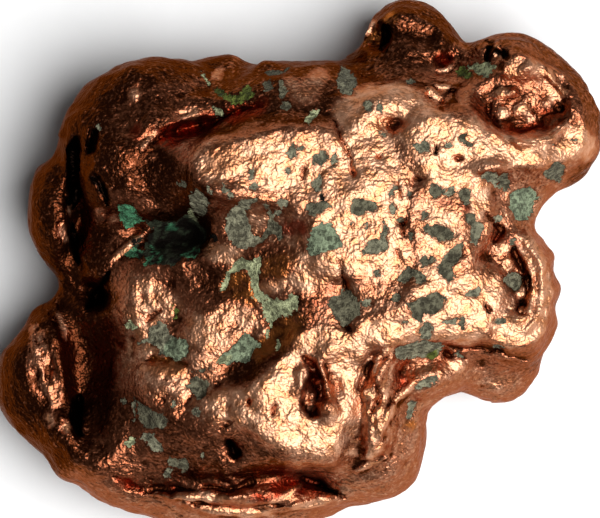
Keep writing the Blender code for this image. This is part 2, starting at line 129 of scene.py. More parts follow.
# Facets, pressed first: name, x, y, half-length, half-width, turn, tilt to +X, tilt to -Y, strength.
FACETS = (
    ("ridge", -0.8, 6.8, 5.9, 3.7, 4, 6, 1, 0.95),
    ("ridge end", -5.0, 6.8, 2.7, 2.0, 10, -2, -2, 0.8),
    ("junction", 2.5, 2.6, 2.3, 3.9, 0, 13, 3, 0.85),
    ("plateau top", 5.1, 7.6, 3.1, 3.3, 0, 9, 1, 0.9),
    ("plateau", 5.0, 4.0, 2.7, 3.6, 0, 10, 2, 0.9),
    ("plateau foot", 5.1, 0.3, 2.4, 2.3, 0, 10, 8, 0.75),
    ("shoulder", 6.4, 10.5, 3.1, 1.9, 0, 10, 3, 0.95),
    ("right plateau", 9.3, 2.8, 3.6, 4.4, 0, 7, 1, 0.9),
    ("bridge", 9.7, 8.0, 4.0, 2.9, 0, 11, 4, 0.95),
    ("bridge arm", 13.9, 7.6, 3.2, 1.3, -4, 12, 2, 0.95),
    ("bridge end", 17.8, 8.2, 1.9, 1.3, 10, 13, 0, 0.8),
    ("right strip", 11.9, 3.4, 1.2, 2.8, 0, 13, 2, 0.7),
    ("right foot", 11.5, -2.1, 3.1, 2.7, 0, 11, 2, 0.85),
    ("right toe", 14.3, -4.2, 2.5, 1.3, -10, 10, 7, 0.7),
    ("right lobe ring", 15.9, -1.2, 0.93, 3.3, 0, 13, 0, 0.8),
    ("lower ridge", 9.7, -3.5, 4.0, 1.9, 0, 8, 8, 0.8),
    ("lower ridge end", 5.1, -4.3, 2.3, 1.3, 10, 7, 5, 0.8),
    ("pad corner", 3.1, -5.5, 1.7, 1.1, 30, 8, 5, 0.8),
    ("pad back", 1.0, -4.8, 1.9, 0.87, 0, 4, -2, 0.7),
    ("pad", -2.0, -9.2, 2.8, 2.3, 0, 6, 4, 0.85),
    ("pad front", 0.2, -10.9, 3.3, 1.5, 0, 8, 9, 0.9),
    ("pad side", 2.9, -8.4, 1.8, 3.7, 0, 12, 4, 0.85),
    ("pad left", -0.5, -6.7, 1.3, 1.2, 40, 8, 0, 0.7),
    ("knob", -9.7, -2.7, 3.3, 3.3, 0, 9, 2, 0.55),
    ("swell", -8.0, -8.1, 3.5, 2.3, 0, 3, 3, 0.5),
    ("swell end", -4.9, -9.6, 2.9, 1.9, 0, 4, 5, 0.55),
    ("middle", -4.1, -3.4, 2.9, 1.5, 0, 3, 2, 0.35),
    ("middle top", -4.9, 0.5, 1.6, 1.0, 0, 5, 4, 0.6),
    ("column", 5.2, -9.4, 1.3, 4.1, 0, 12, 4, 0.8),
    ("boss shoulder", -7.0, 10.5, 1.7, 1.1, 15, 4, -4, 0.5),
    ("top lobe", 7.9, 15.1, 2.7, 1.9, 0, -4, -26, 0.6),
    ("bowl floor", 15.1, 10.5, 3.5, 2.5, 0, 11, 3, 0.9),
    ("crown", 14.9, 13.0, 1.3, 1.0, 0, 8, 0, 0.8),
    ("crown rim", 17.0, 12.1, 1.0, 1.2, 30, 15, -3, 0.7),
    ("lobe ridge", -16.8, -7.2, 0.67, 2.4, 20, 6, 0, 0.4),
)

# Chips, pressed last, in the same form. They are bare copper, partly wear and partly painted highlight.
CHIPS = (
    ("column square", 4.6, -8.3, 0.53, 0.53, -20, 12, 4, 0.95),
    ("column blade 1", 6.9, -8.4, 1.1, 0.33, 40, 14, 2, 0.9),
    ("column blade 2", 5.8, -10.0, 1.3, 0.4, 60, 14, 4, 0.9),
    ("column flake 1", 5.9, -5.6, 0.53, 0.33, 40, 10, 2, 0.9),
    ("column flake 2", 5.2, -6.7, 0.6, 0.33, 60, 12, 2, 0.9),
    ("column rib 1", 5.0, -12.2, 0.93, 0.33, 40, 10, 6, 0.9),
    ("column rib 2", 4.7, -13.1, 1.2, 0.27, 25, 8, 8, 0.85),
    ("right box 1", 13.5, 1.1, 0.53, 0.47, -10, 10, 2, 0.95),
    ("right box 2", 13.8, 0.2, 0.47, 0.53, 0, 12, 2, 0.95),
    ("right box 3", 14.7, -1.8, 0.47, 0.53, 0, 10, 4, 0.95),
    ("right box 4", 14.8, -3.0, 0.47, 0.4, 0, 12, 6, 0.9),
    ("bowl flake 1", 13.4, 11.4, 0.6, 0.4, 30, 12, 0, 0.9),
    ("bowl flake 2", 13.6, 10.1, 0.53, 0.53, 0, 10, 4, 0.95),
    ("bowl flake 3", 14.8, 10.4, 0.6, 0.53, -20, 8, 2, 0.95),
    ("bowl flake 4", 15.2, 9.7, 0.53, 0.33, -10, 12, 8, 0.9),
    ("bowl flake 5", 16.5, 10.9, 0.67, 0.47, 30, 14, 4, 0.8),
    ("bridge rib", 9.0, 11.2, 0.93, 0.33, -50, 8, 4, 0.9),
    ("bridge rib 2", 9.6, 11.8, 0.53, 0.27, 0, 8, 2, 0.9),
    ("lip 1", -6.6, -15.3, 2.0, 0.4, -3, 6, 2, 0.85),
    ("lip 2", -4.0, -16.3, 2.7, 0.4, -4, 8, 6, 0.85),
    ("lip 3", 0.8, -15.9, 1.6, 0.33, 12, 8, 4, 0.85),
    ("lip 4", -0.9, -15.2, 1.5, 0.27, 28, 6, 2, 0.8),
    ("cave lip", 9.7, 13.0, 0.67, 0.33, 25, 6, 0, 0.9),
    ("top lobe rim", 4.7, 15.8, 0.93, 0.33, 55, 6, -4, 0.85),
    ("left glint", -11.3, 1.3, 1.7, 0.33, 40, 4, 2, 0.85),
    ("sliver", -15.2, 4.1, 0.2, 0.93, 0, 14, 0, 0.8),
    ("shelf bump", 10.4, -6.5, 0.93, 0.67, 0, 10, 6, 0.85),
    ("crown curl", 13.2, 14.2, 0.33, 0.67, 0, 6, 0, 0.8),
)

# Broad strokes: name, profile, then paths of (x, y, reach, height).
FORM = (
    ("pad pit fill", SWELL, ((1.0, -7.2, 1.5, 1.3), (1.4, -8.9, 1.6, 1.4))),
    ("right lobe pit fill", SWELL, ((14.4, 0.3, 1.1, 0.5), (14.8, -1.2, 1.2, 0.8),
     (14.4, -3.0, 1.1, 0.5))),
    ("column fill", SWELL, ((5.2, -6.7, 1.2, 0.8), (5.0, -8.8, 1.3, 1.0), (4.7, -11.4, 1.3, 0.8))),
    ("bowl groove fill", SWELL, ((13.1, 9.1, 0.93, 0.8), (14.6, 8.5, 1.1, 1.5), (16.2, 8.7, 1.1, 1.4),
     (17.4, 9.6, 0.93, 1.1), (17.8, 10.3, 0.8, 0.9))),
    ("saddle fill", SWELL, ((3.5, 10.4, 1.7, 0.5), (5.1, 10.5, 2.1, 1.0), (6.8, 10.6, 2.1, 1.0),
     (8.3, 10.4, 1.3, 0.4))),
)

# Fine strokes, in the same form.
FINE = (
    ("pad pit bowl", PIT, ((1.3, -6.9, 1.1, -0.3), (1.7, -8.3, 1.5, -0.6), (1.3, -9.4, 1.0, -0.4))),
    ("pad pit trench", PIT, ((0.3, -5.8, 0.2, -0.4), (0.6, -6.4, 0.33, -0.8), (1.0, -7.3, 0.4, -1.0),
     (1.5, -8.5, 0.47, -1.0), (1.0, -9.7, 0.33, -0.6))),
    ("flap cracks", PIT, ((-14.7, 8.5, 0.27, -0.8), (-15.0, 7.6, 0.6, -1.4), (-14.8, 6.8, 0.53, -1.4),
     (-15.2, 5.8, 0.27, -1.0), (-14.8, 5.0, 0.47, -1.4), (-15.2, 4.0, 0.2, -1.0)),
     ((-15.2, 2.9, 0.13, -0.7), (-15.1, 2.1, 0.27, -1.1), (-14.8, 0.9, 0.27, -1.2),
     (-14.7, 0.3, 0.2, -0.8))),
    ("flap pool", PIT, ((-13.5, 8.8, 0.33, -0.7), (-13.7, 7.9, 0.47, -0.9))),
    ("boss crevice", PIT, ((-2.4, 10.6, 0.2, -0.3), (-4.0, 10.1, 0.27, -0.5), (-5.7, 9.5, 0.33, -0.7),
     (-7.1, 9.1, 0.47, -0.9), (-8.7, 8.7, 0.4, -0.8), (-9.7, 8.2, 0.2, -0.4))),
    ("lobe pool", PIT, ((-14.6, -8.9, 0.4, -0.9), (-14.8, -10.1, 0.47, -1.0), (-14.6, -11.1, 0.27, -0.7))),
    ("bowl edges", PIT, ((12.7, 10.9, 0.2, -0.3), (12.6, 10.0, 0.27, -0.4), (13.2, 9.2, 0.2, -0.3)),
     ((14.0, 9.1, 0.2, -0.3), (15.2, 9.1, 0.27, -0.4), (16.1, 9.5, 0.2, -0.3))),
    ("bowl recess", PIT, ((17.4, 10.4, 0.33, -0.6),)),
    ("lip grooves", PIT, ((-12.2, -14.0, 0.2, -0.3), (-11.3, -14.6, 0.33, -0.5), (-10.4, -14.8, 0.2, -0.3)),
     ((-9.7, -14.9, 0.27, -0.4), (-8.0, -14.7, 0.4, -0.6), (-6.7, -14.9, 0.2, -0.3)),
     ((-6.1, -14.7, 0.33, -0.5), (-4.7, -14.9, 0.4, -0.6), (-3.2, -14.4, 0.33, -0.5))),
    ("lip cavity", PIT, ((0.4, -14.2, 0.27, -0.7), (1.3, -14.5, 0.53, -1.0), (2.2, -14.9, 0.33, -0.7),
     (3.1, -15.3, 0.2, -0.3))),
    ("ridge crease", FOLD, ((2.3, 9.6, 0.2, -0.3), (2.7, 8.5, 0.2, -0.5), (3.2, 7.6, 0.2, -0.5),
     (3.7, 6.2, 0.27, -0.6))),
    ("oval hole", PIT, ((-4.5, -11.6, 0.4, -1.4), (-4.0, -12.3, 0.4, -1.4))),
    ("pinhole", PIT, ((-3.2, -9.0, 0.27, -0.7),)),
    ("pad slot", PIT, ((-1.6, -9.3, 0.2, -0.4), (-1.5, -9.8, 0.2, -0.4))),
    ("flap", FOLD, ((-5.2, -13.0, 0.33, 0.3), (-4.6, -13.9, 0.33, 0.5), (-3.8, -14.4, 0.27, 0.3))),
    ("boss crevice lip", FOLD, ((-9.2, 9.2, 0.27, 0.4), (-8.0, 9.7, 0.27, 0.4), (-6.4, 10.1, 0.27, 0.3))),
    ("boss crack", PIT, ((-13.5, 5.8, 0.27, -0.6), (-13.0, 5.1, 0.27, -0.7), (-12.7, 4.1, 0.2, -0.5))),
    ("neck hollow", PIT, ((-12.5, -0.4, 0.2, -0.5), (-13.1, -1.4, 0.33, -0.8), (-13.5, -2.1, 0.6, -1.1),
     (-14.1, -2.7, 0.27, -0.6))),
    ("lobe rough edge", FOLD, ((-17.6, -4.2, 0.27, 0.3), (-17.5, -5.5, 0.33, 0.4), (-17.1, -7.3, 0.33, 0.4),
     (-16.5, -8.8, 0.33, 0.3), (-16.3, -10.1, 0.27, 0.3))),
    ("lobe lower blade", FOLD, ((-15.8, -10.1, 0.27, 0.3), (-15.2, -10.9, 0.27, 0.4))),
    ("right lobe trench", PIT, ((14.2, 1.2, 0.27, -0.7), (14.6, 0.3, 0.4, -1.0), (15.2, -0.8, 0.4, -1.2),
     (15.1, -2.0, 0.4, -1.1), (14.5, -3.0, 0.4, -0.9))),
    ("right lobe ring", SWELL, ((14.9, 1.9, 0.4, 0.3), (15.8, 0.5, 0.47, 0.4), (16.2, -1.2, 0.47, 0.4),
     (15.9, -3.0, 0.47, 0.4), (15.1, -4.2, 0.47, 0.3))),
    ("bowl knobs", SWELL, ((13.6, 11.5, 0.4, 0.5), (14.3, 11.7, 0.33, 0.4)), ((14.8, 10.3, 0.53, 0.8),
     (15.5, 9.8, 0.33, 0.5))),
    ("ridge dimple", PIT, ((3.7, 6.2, 0.2, -0.4),)),
    ("ridge hole", PIT, ((0.3, 6.4, 0.17, -0.3), (0.4, 5.9, 0.17, -0.3))),
    ("plateau crack 1", FOLD, ((2.6, 0.5, 0.2, -0.3), (2.9, -0.5, 0.27, -0.5), (3.1, -1.6, 0.27, -0.4))),
    ("plateau cracks", FOLD, ((6.5, 5.4, 0.2, -0.3), (6.8, 4.6, 0.2, -0.3)), ((7.2, 3.3, 0.2, -0.3),
     (6.9, 2.6, 0.27, -0.5), (7.1, 1.9, 0.2, -0.3)), ((6.4, 1.1, 0.2, -0.3), (6.8, 0.3, 0.2, -0.3)),
     ((7.7, 5.7, 0.27, -0.4), (8.3, 5.9, 0.27, -0.5)), ((12.1, 3.4, 0.33, -0.5), (12.7, 3.0, 0.33, -0.6),
     (13.4, 2.5, 0.4, -0.8), (13.0, 1.7, 0.27, -0.5))),
    ("plateau hole 1", PIT, ((9.0, 7.9, 0.17, -0.4), (9.0, 7.4, 0.17, -0.4))),
    ("plateau hole 2", PIT, ((10.3, 7.0, 0.2, -0.4), (10.7, 7.0, 0.13, -0.4))),
    ("plateau hole 3", PIT, ((12.3, -2.6, 0.2, -0.5), (12.5, -2.9, 0.23, -0.6))),
    ("plateau holes", PIT, ((6.9, 2.9, 0.27, -0.4),), ((5.3, 7.1, 0.27, -0.3),)),
    ("dark stone crack", FOLD, ((3.5, -4.2, 0.33, -0.7), (3.1, -3.7, 0.27, -0.4))),
    ("column flakes", FOLD, ((5.8, -5.4, 0.27, 0.6), (5.0, -6.3, 0.27, 0.5)), ((6.2, -5.8, 0.27, 0.7),
     (5.5, -6.7, 0.33, 0.8), (5.2, -7.5, 0.27, 0.5))),
    ("column square", PIT, ((4.7, -8.3, 0.47, 0.7),)),
    ("column blade", FOLD, ((7.5, -7.8, 0.27, 0.6), (6.7, -8.6, 0.33, 0.8), (5.9, -9.6, 0.4, 0.9),
     (5.3, -10.6, 0.53, 1.0), (5.3, -11.4, 0.27, 0.5))),
    ("column ribs", FOLD, ((5.6, -11.7, 0.27, 0.6), (4.8, -12.2, 0.47, 0.8), (4.4, -12.7, 0.27, 0.5)),
     ((5.8, -12.5, 0.2, 0.5), (4.7, -13.0, 0.27, 0.6), (3.7, -13.6, 0.2, 0.4))),
    ("column cleft", FOLD, ((5.1, -7.9, 0.27, -0.4), (5.4, -8.6, 0.4, -0.6), (4.8, -9.6, 0.4, -0.7))),
    ("lip ridges", FOLD, ((-10.4, -15.2, 0.27, 0.3), (-8.4, -15.3, 0.4, 0.6), (-6.1, -15.3, 0.4, 0.6),
     (-3.5, -15.2, 0.33, 0.5)), ((-7.8, -15.7, 0.33, 0.5), (-5.8, -16.3, 0.4, 0.7), (-2.5, -16.4, 0.4, 0.7),
     (0.1, -15.9, 0.4, 0.7), (2.0, -15.5, 0.33, 0.5)), ((-2.1, -15.5, 0.27, 0.5), (-0.9, -15.1, 0.27, 0.6),
     (0.1, -14.6, 0.27, 0.5))),
    ("lip groove 2", FOLD, ((-7.1, -15.7, 0.27, -0.3), (-5.5, -15.9, 0.33, -0.6), (-3.5, -16.0, 0.33, -0.6),
     (-1.5, -15.7, 0.27, -0.4))),
    ("top lobe rim", FOLD, ((4.3, 15.2, 0.27, 0.4), (4.8, 15.9, 0.33, 0.6), (5.4, 16.4, 0.27, 0.4))),
    ("top lobe crescent", PIT, ((5.8, 16.0, 0.27, -1.0), (6.0, 15.2, 0.4, -1.3), (5.7, 14.5, 0.33, -0.9))),
    ("top lobe hollow", SWELL, ((6.7, 15.5, 0.93, -0.4), (8.6, 15.2, 1.1, -0.5))),
    ("cave", PIT, ((9.2, 13.7, 0.33, -0.5), (10.0, 13.9, 0.4, -0.8))),
    ("cave lip", FOLD, ((9.3, 12.9, 0.27, 0.4), (10.0, 13.1, 0.27, 0.6), (10.4, 13.5, 0.2, 0.4))),
    ("crown curl", FOLD, ((13.2, 14.8, 0.2, 0.3), (13.0, 14.2, 0.27, 0.6), (13.4, 13.7, 0.27, 0.6))),
    ("crown curl hollow", PIT, ((12.6, 13.7, 0.27, -0.9), (12.7, 14.6, 0.27, -0.6),
     (13.7, 14.0, 0.27, -0.8))),
    ("crown lump", FOLD, ((16.5, 12.7, 0.33, 0.5), (17.2, 11.8, 0.33, 0.6), (18.0, 11.2, 0.33, 0.5))),
    ("bridge pit", PIT, ((8.6, 11.2, 0.33, -0.5), (9.4, 10.6, 0.33, -0.6), (10.2, 11.3, 0.6, -0.8))),
    ("bridge pit ribs", FOLD, ((8.5, 11.7, 0.2, 0.6), (8.9, 11.1, 0.27, 0.8), (9.5, 10.7, 0.2, 0.6)),
     ((8.9, 12.0, 0.2, 0.5), (9.4, 11.8, 0.27, 0.7), (10.0, 12.0, 0.2, 0.5))),
    ("shelf fold", FOLD, ((9.3, -5.1, 0.27, -0.4), (10.7, -5.4, 0.33, -0.7), (13.2, -5.6, 0.4, -0.8),
     (15.1, -6.2, 0.27, -0.4))),
    ("shelf block", PIT, ((9.8, -5.8, 0.2, -0.3), (10.1, -6.0, 0.27, -0.4))),
    ("knob crack", FOLD, ((-10.6, -3.0, 0.2, -0.2), (-9.9, -3.8, 0.2, -0.3), (-9.2, -3.0, 0.27, -0.5))),
    ("stone bowl hollow", PIT, ((-9.1, 0.5, 0.4, -0.5), (-9.7, 2.0, 0.6, -0.6), (-7.4, 2.0, 0.93, -0.9))),
    ("left glint rib", FOLD, ((-12.5, 0.3, 0.27, 0.4), (-11.7, 1.1, 0.33, 0.5), (-10.8, 1.7, 0.4, 0.5),
     (-9.9, 2.7, 0.27, 0.4))),
    ("boss glint mound", FOLD, ((-10.0, 8.3, 0.33, 0.3), (-10.4, 7.8, 0.4, 0.5))),
    ("sliver", FOLD, ((-15.3, 4.7, 0.2, 0.5), (-15.3, 3.5, 0.2, 0.5))),
    ("swell hollow", FOLD, ((-5.0, -10.7, 0.33, -0.4), (-4.2, -10.1, 0.33, -0.3))),
    ("mound edge", PIT, ((-9.7, -6.3, 0.4, -0.3), (-7.4, -6.4, 0.4, -0.3))),
)

# Knobs and low mounds, each a swell of its own: where they are, then (x, y, reach, height) of each.
KNOBS = (
    ("pad pit", (0.8, -6.8, 0.27, 0.6), (1.3, -7.7, 0.33, 0.9), (0.8, -8.5, 0.27, 0.7),
     (1.4, -9.2, 0.27, 0.7), (1.8, -8.2, 0.2, 0.5)),
    ("oval hole", (-4.1, -12.5, 0.13, 0.4)),
    ("right lobe pit", (13.6, 1.1, 0.4, 0.6), (13.8, 0.3, 0.4, 0.6), (14.6, -1.7, 0.4, 0.6),
     (14.8, -3.0, 0.33, 0.5)),
    ("bowl", (13.7, 10.1, 0.4, 0.7), (16.4, 10.8, 0.6, 0.5), (15.1, 11.2, 0.33, 0.4)),
    ("crown", (15.1, 13.1, 0.8, 0.4)),
    ("shelf", (10.4, -6.5, 0.67, 0.4)),
    ("left side", (-13.2, 3.5, 0.6, 0.4)),
    ("upper left boss", (-10.8, 11.3, 0.67, 0.2)),
    ("stones", (-9.1, -4.7, 0.93, 0.3), (-7.9, -5.5, 0.87, 0.3)),
)

# Places where the copper is crumbly: name, strength, then paths of (x, y, reach).
CRUMBS = (
    ("pad pit", 1.0, ((0.6, -6.8, 0.93), (1.3, -8.0, 1.1), (1.0, -9.4, 0.93))),
    ("right lobe pit", 1.0, ((14.3, 0.9, 0.8), (14.9, -1.0, 1.1), (14.6, -3.0, 0.8))),
    ("bowl", 0.8, ((13.2, 10.6, 1.2), (15.1, 9.9, 1.3), (16.7, 10.6, 1.1))),
    ("column", 1.0, ((6.0, -5.6, 1.2), (5.1, -7.5, 1.5), (5.6, -10.1, 1.5), (5.1, -12.7, 1.2))),
    ("lip", 0.7, ((-10.4, -14.8, 0.8), (-5.1, -15.3, 1.1), (0.1, -15.1, 1.1))),
    ("flap", 0.9, ((-15.0, 7.6, 0.93), (-14.8, 4.3, 1.2), (-14.3, 1.1, 1.3))),
    ("left lobe face", 1.4, ((-17.2, -5.1, 1.2), (-16.7, -7.5, 1.6), (-16.0, -10.1, 1.2))),
    ("gully", 0.4, ((-13.9, -2.9, 1.2), (-13.7, -6.2, 1.7), (-13.3, -10.1, 1.7))),
    ("stone pit", 0.7, ((-11.0, 1.7, 2.0), (-7.8, 1.7, 2.0))),
    ("plateau creases", 0.7, ((6.7, 5.7, 0.8), (6.9, 2.4, 0.93), (6.4, -0.9, 1.1), (4.1, -1.6, 0.93))),
    ("right creases", 0.8, ((9.3, 5.0, 1.1), (11.8, 2.6, 1.1), (10.6, -0.2, 1.2), (8.6, 2.4, 0.93))),
    ("bridge pit", 0.9, ((8.6, 11.3, 1.1), (10.4, 11.4, 0.93))),
    ("back", 0.5, ((-1.2, 11.6, 1.2), (2.1, 12.9, 1.1), (5.6, 12.4, 1.1))),
    ("cave", 0.8, ((9.7, 13.7, 0.93),)),
    ("middle", 0.9, ((-3.8, -0.2, 1.6), (-0.5, -2.2, 1.6), (-4.1, -3.4, 1.7))),
    ("knob and swell", 1.4, ((-9.9, -2.6, 1.7), (-10.4, -5.5, 1.3), (-8.0, -8.1, 1.6), (-4.5, -9.6, 1.5))),
    ("saddle", 0.9, ((2.5, 10.4, 1.5), (3.5, 11.0, 1.1))),
    ("lower rim", 0.5, ((7.0, -13.4, 1.1), (4.1, -14.4, 1.1), (0.1, -15.7, 0.93))),
    ("ridge", 0.25, ((-2.5, 7.0, 1.6), (2.1, 6.6, 2.0))),
    ("plateau", 0.35, ((5.1, 7.6, 2.4), (5.0, 2.4, 2.4), (9.3, 2.4, 2.7))),
)

# Nicks and points of the outline: x, y, reach, then how far X and Y move.
NICKS = (
    (-13.5, 12.0, 3.3, 0.2, -0.1), (-16.4, 3.4, 1.5, 0.2, 0.0), (-18.9, -4.2, 2.3, 0.4, -0.3),
    (-16.9, -13.4, 3.1, 0.4, 0.3), (-14.8, -14.4, 1.6, 0.3, 0.3), (-14.1, -15.1, 2.3, 0.2, 0.4),
    (-13.0, -16.1, 2.0, -0.1, 0.1), (17.3, -0.5, 1.6, -0.7, 0.0), (17.7, -2.6, 1.6, -0.5, 0.0),
    (-3.4, 13.3, 1.6, 0.0, -0.2), (19.1, 7.6, 1.5, -0.1, -0.1), (-16.4, 5.7, 0.53, 0.5, -0.2),
    (-15.9, 6.3, 0.27, 0.2, 0.0), (-16.2, 6.6, 0.27, -0.3, 0.0), (-15.5, -1.5, 0.4, 0.4, 0.1),
    (-15.8, -1.2, 0.27, -0.2, 0.3), (-16.5, -3.0, 0.33, 0.2, -0.2), (-15.7, 8.8, 0.27, -0.2, -0.1),
    (3.8, 14.8, 0.27, 0.2, 0.0), (3.5, 14.0, 0.33, -0.3, 0.0), (12.2, -8.1, 0.27, 0.1, 0.2),
    (13.1, -8.9, 0.33, 0.0, -0.2), (-13.7, -15.2, 0.27, 0.0, 0.1),
)

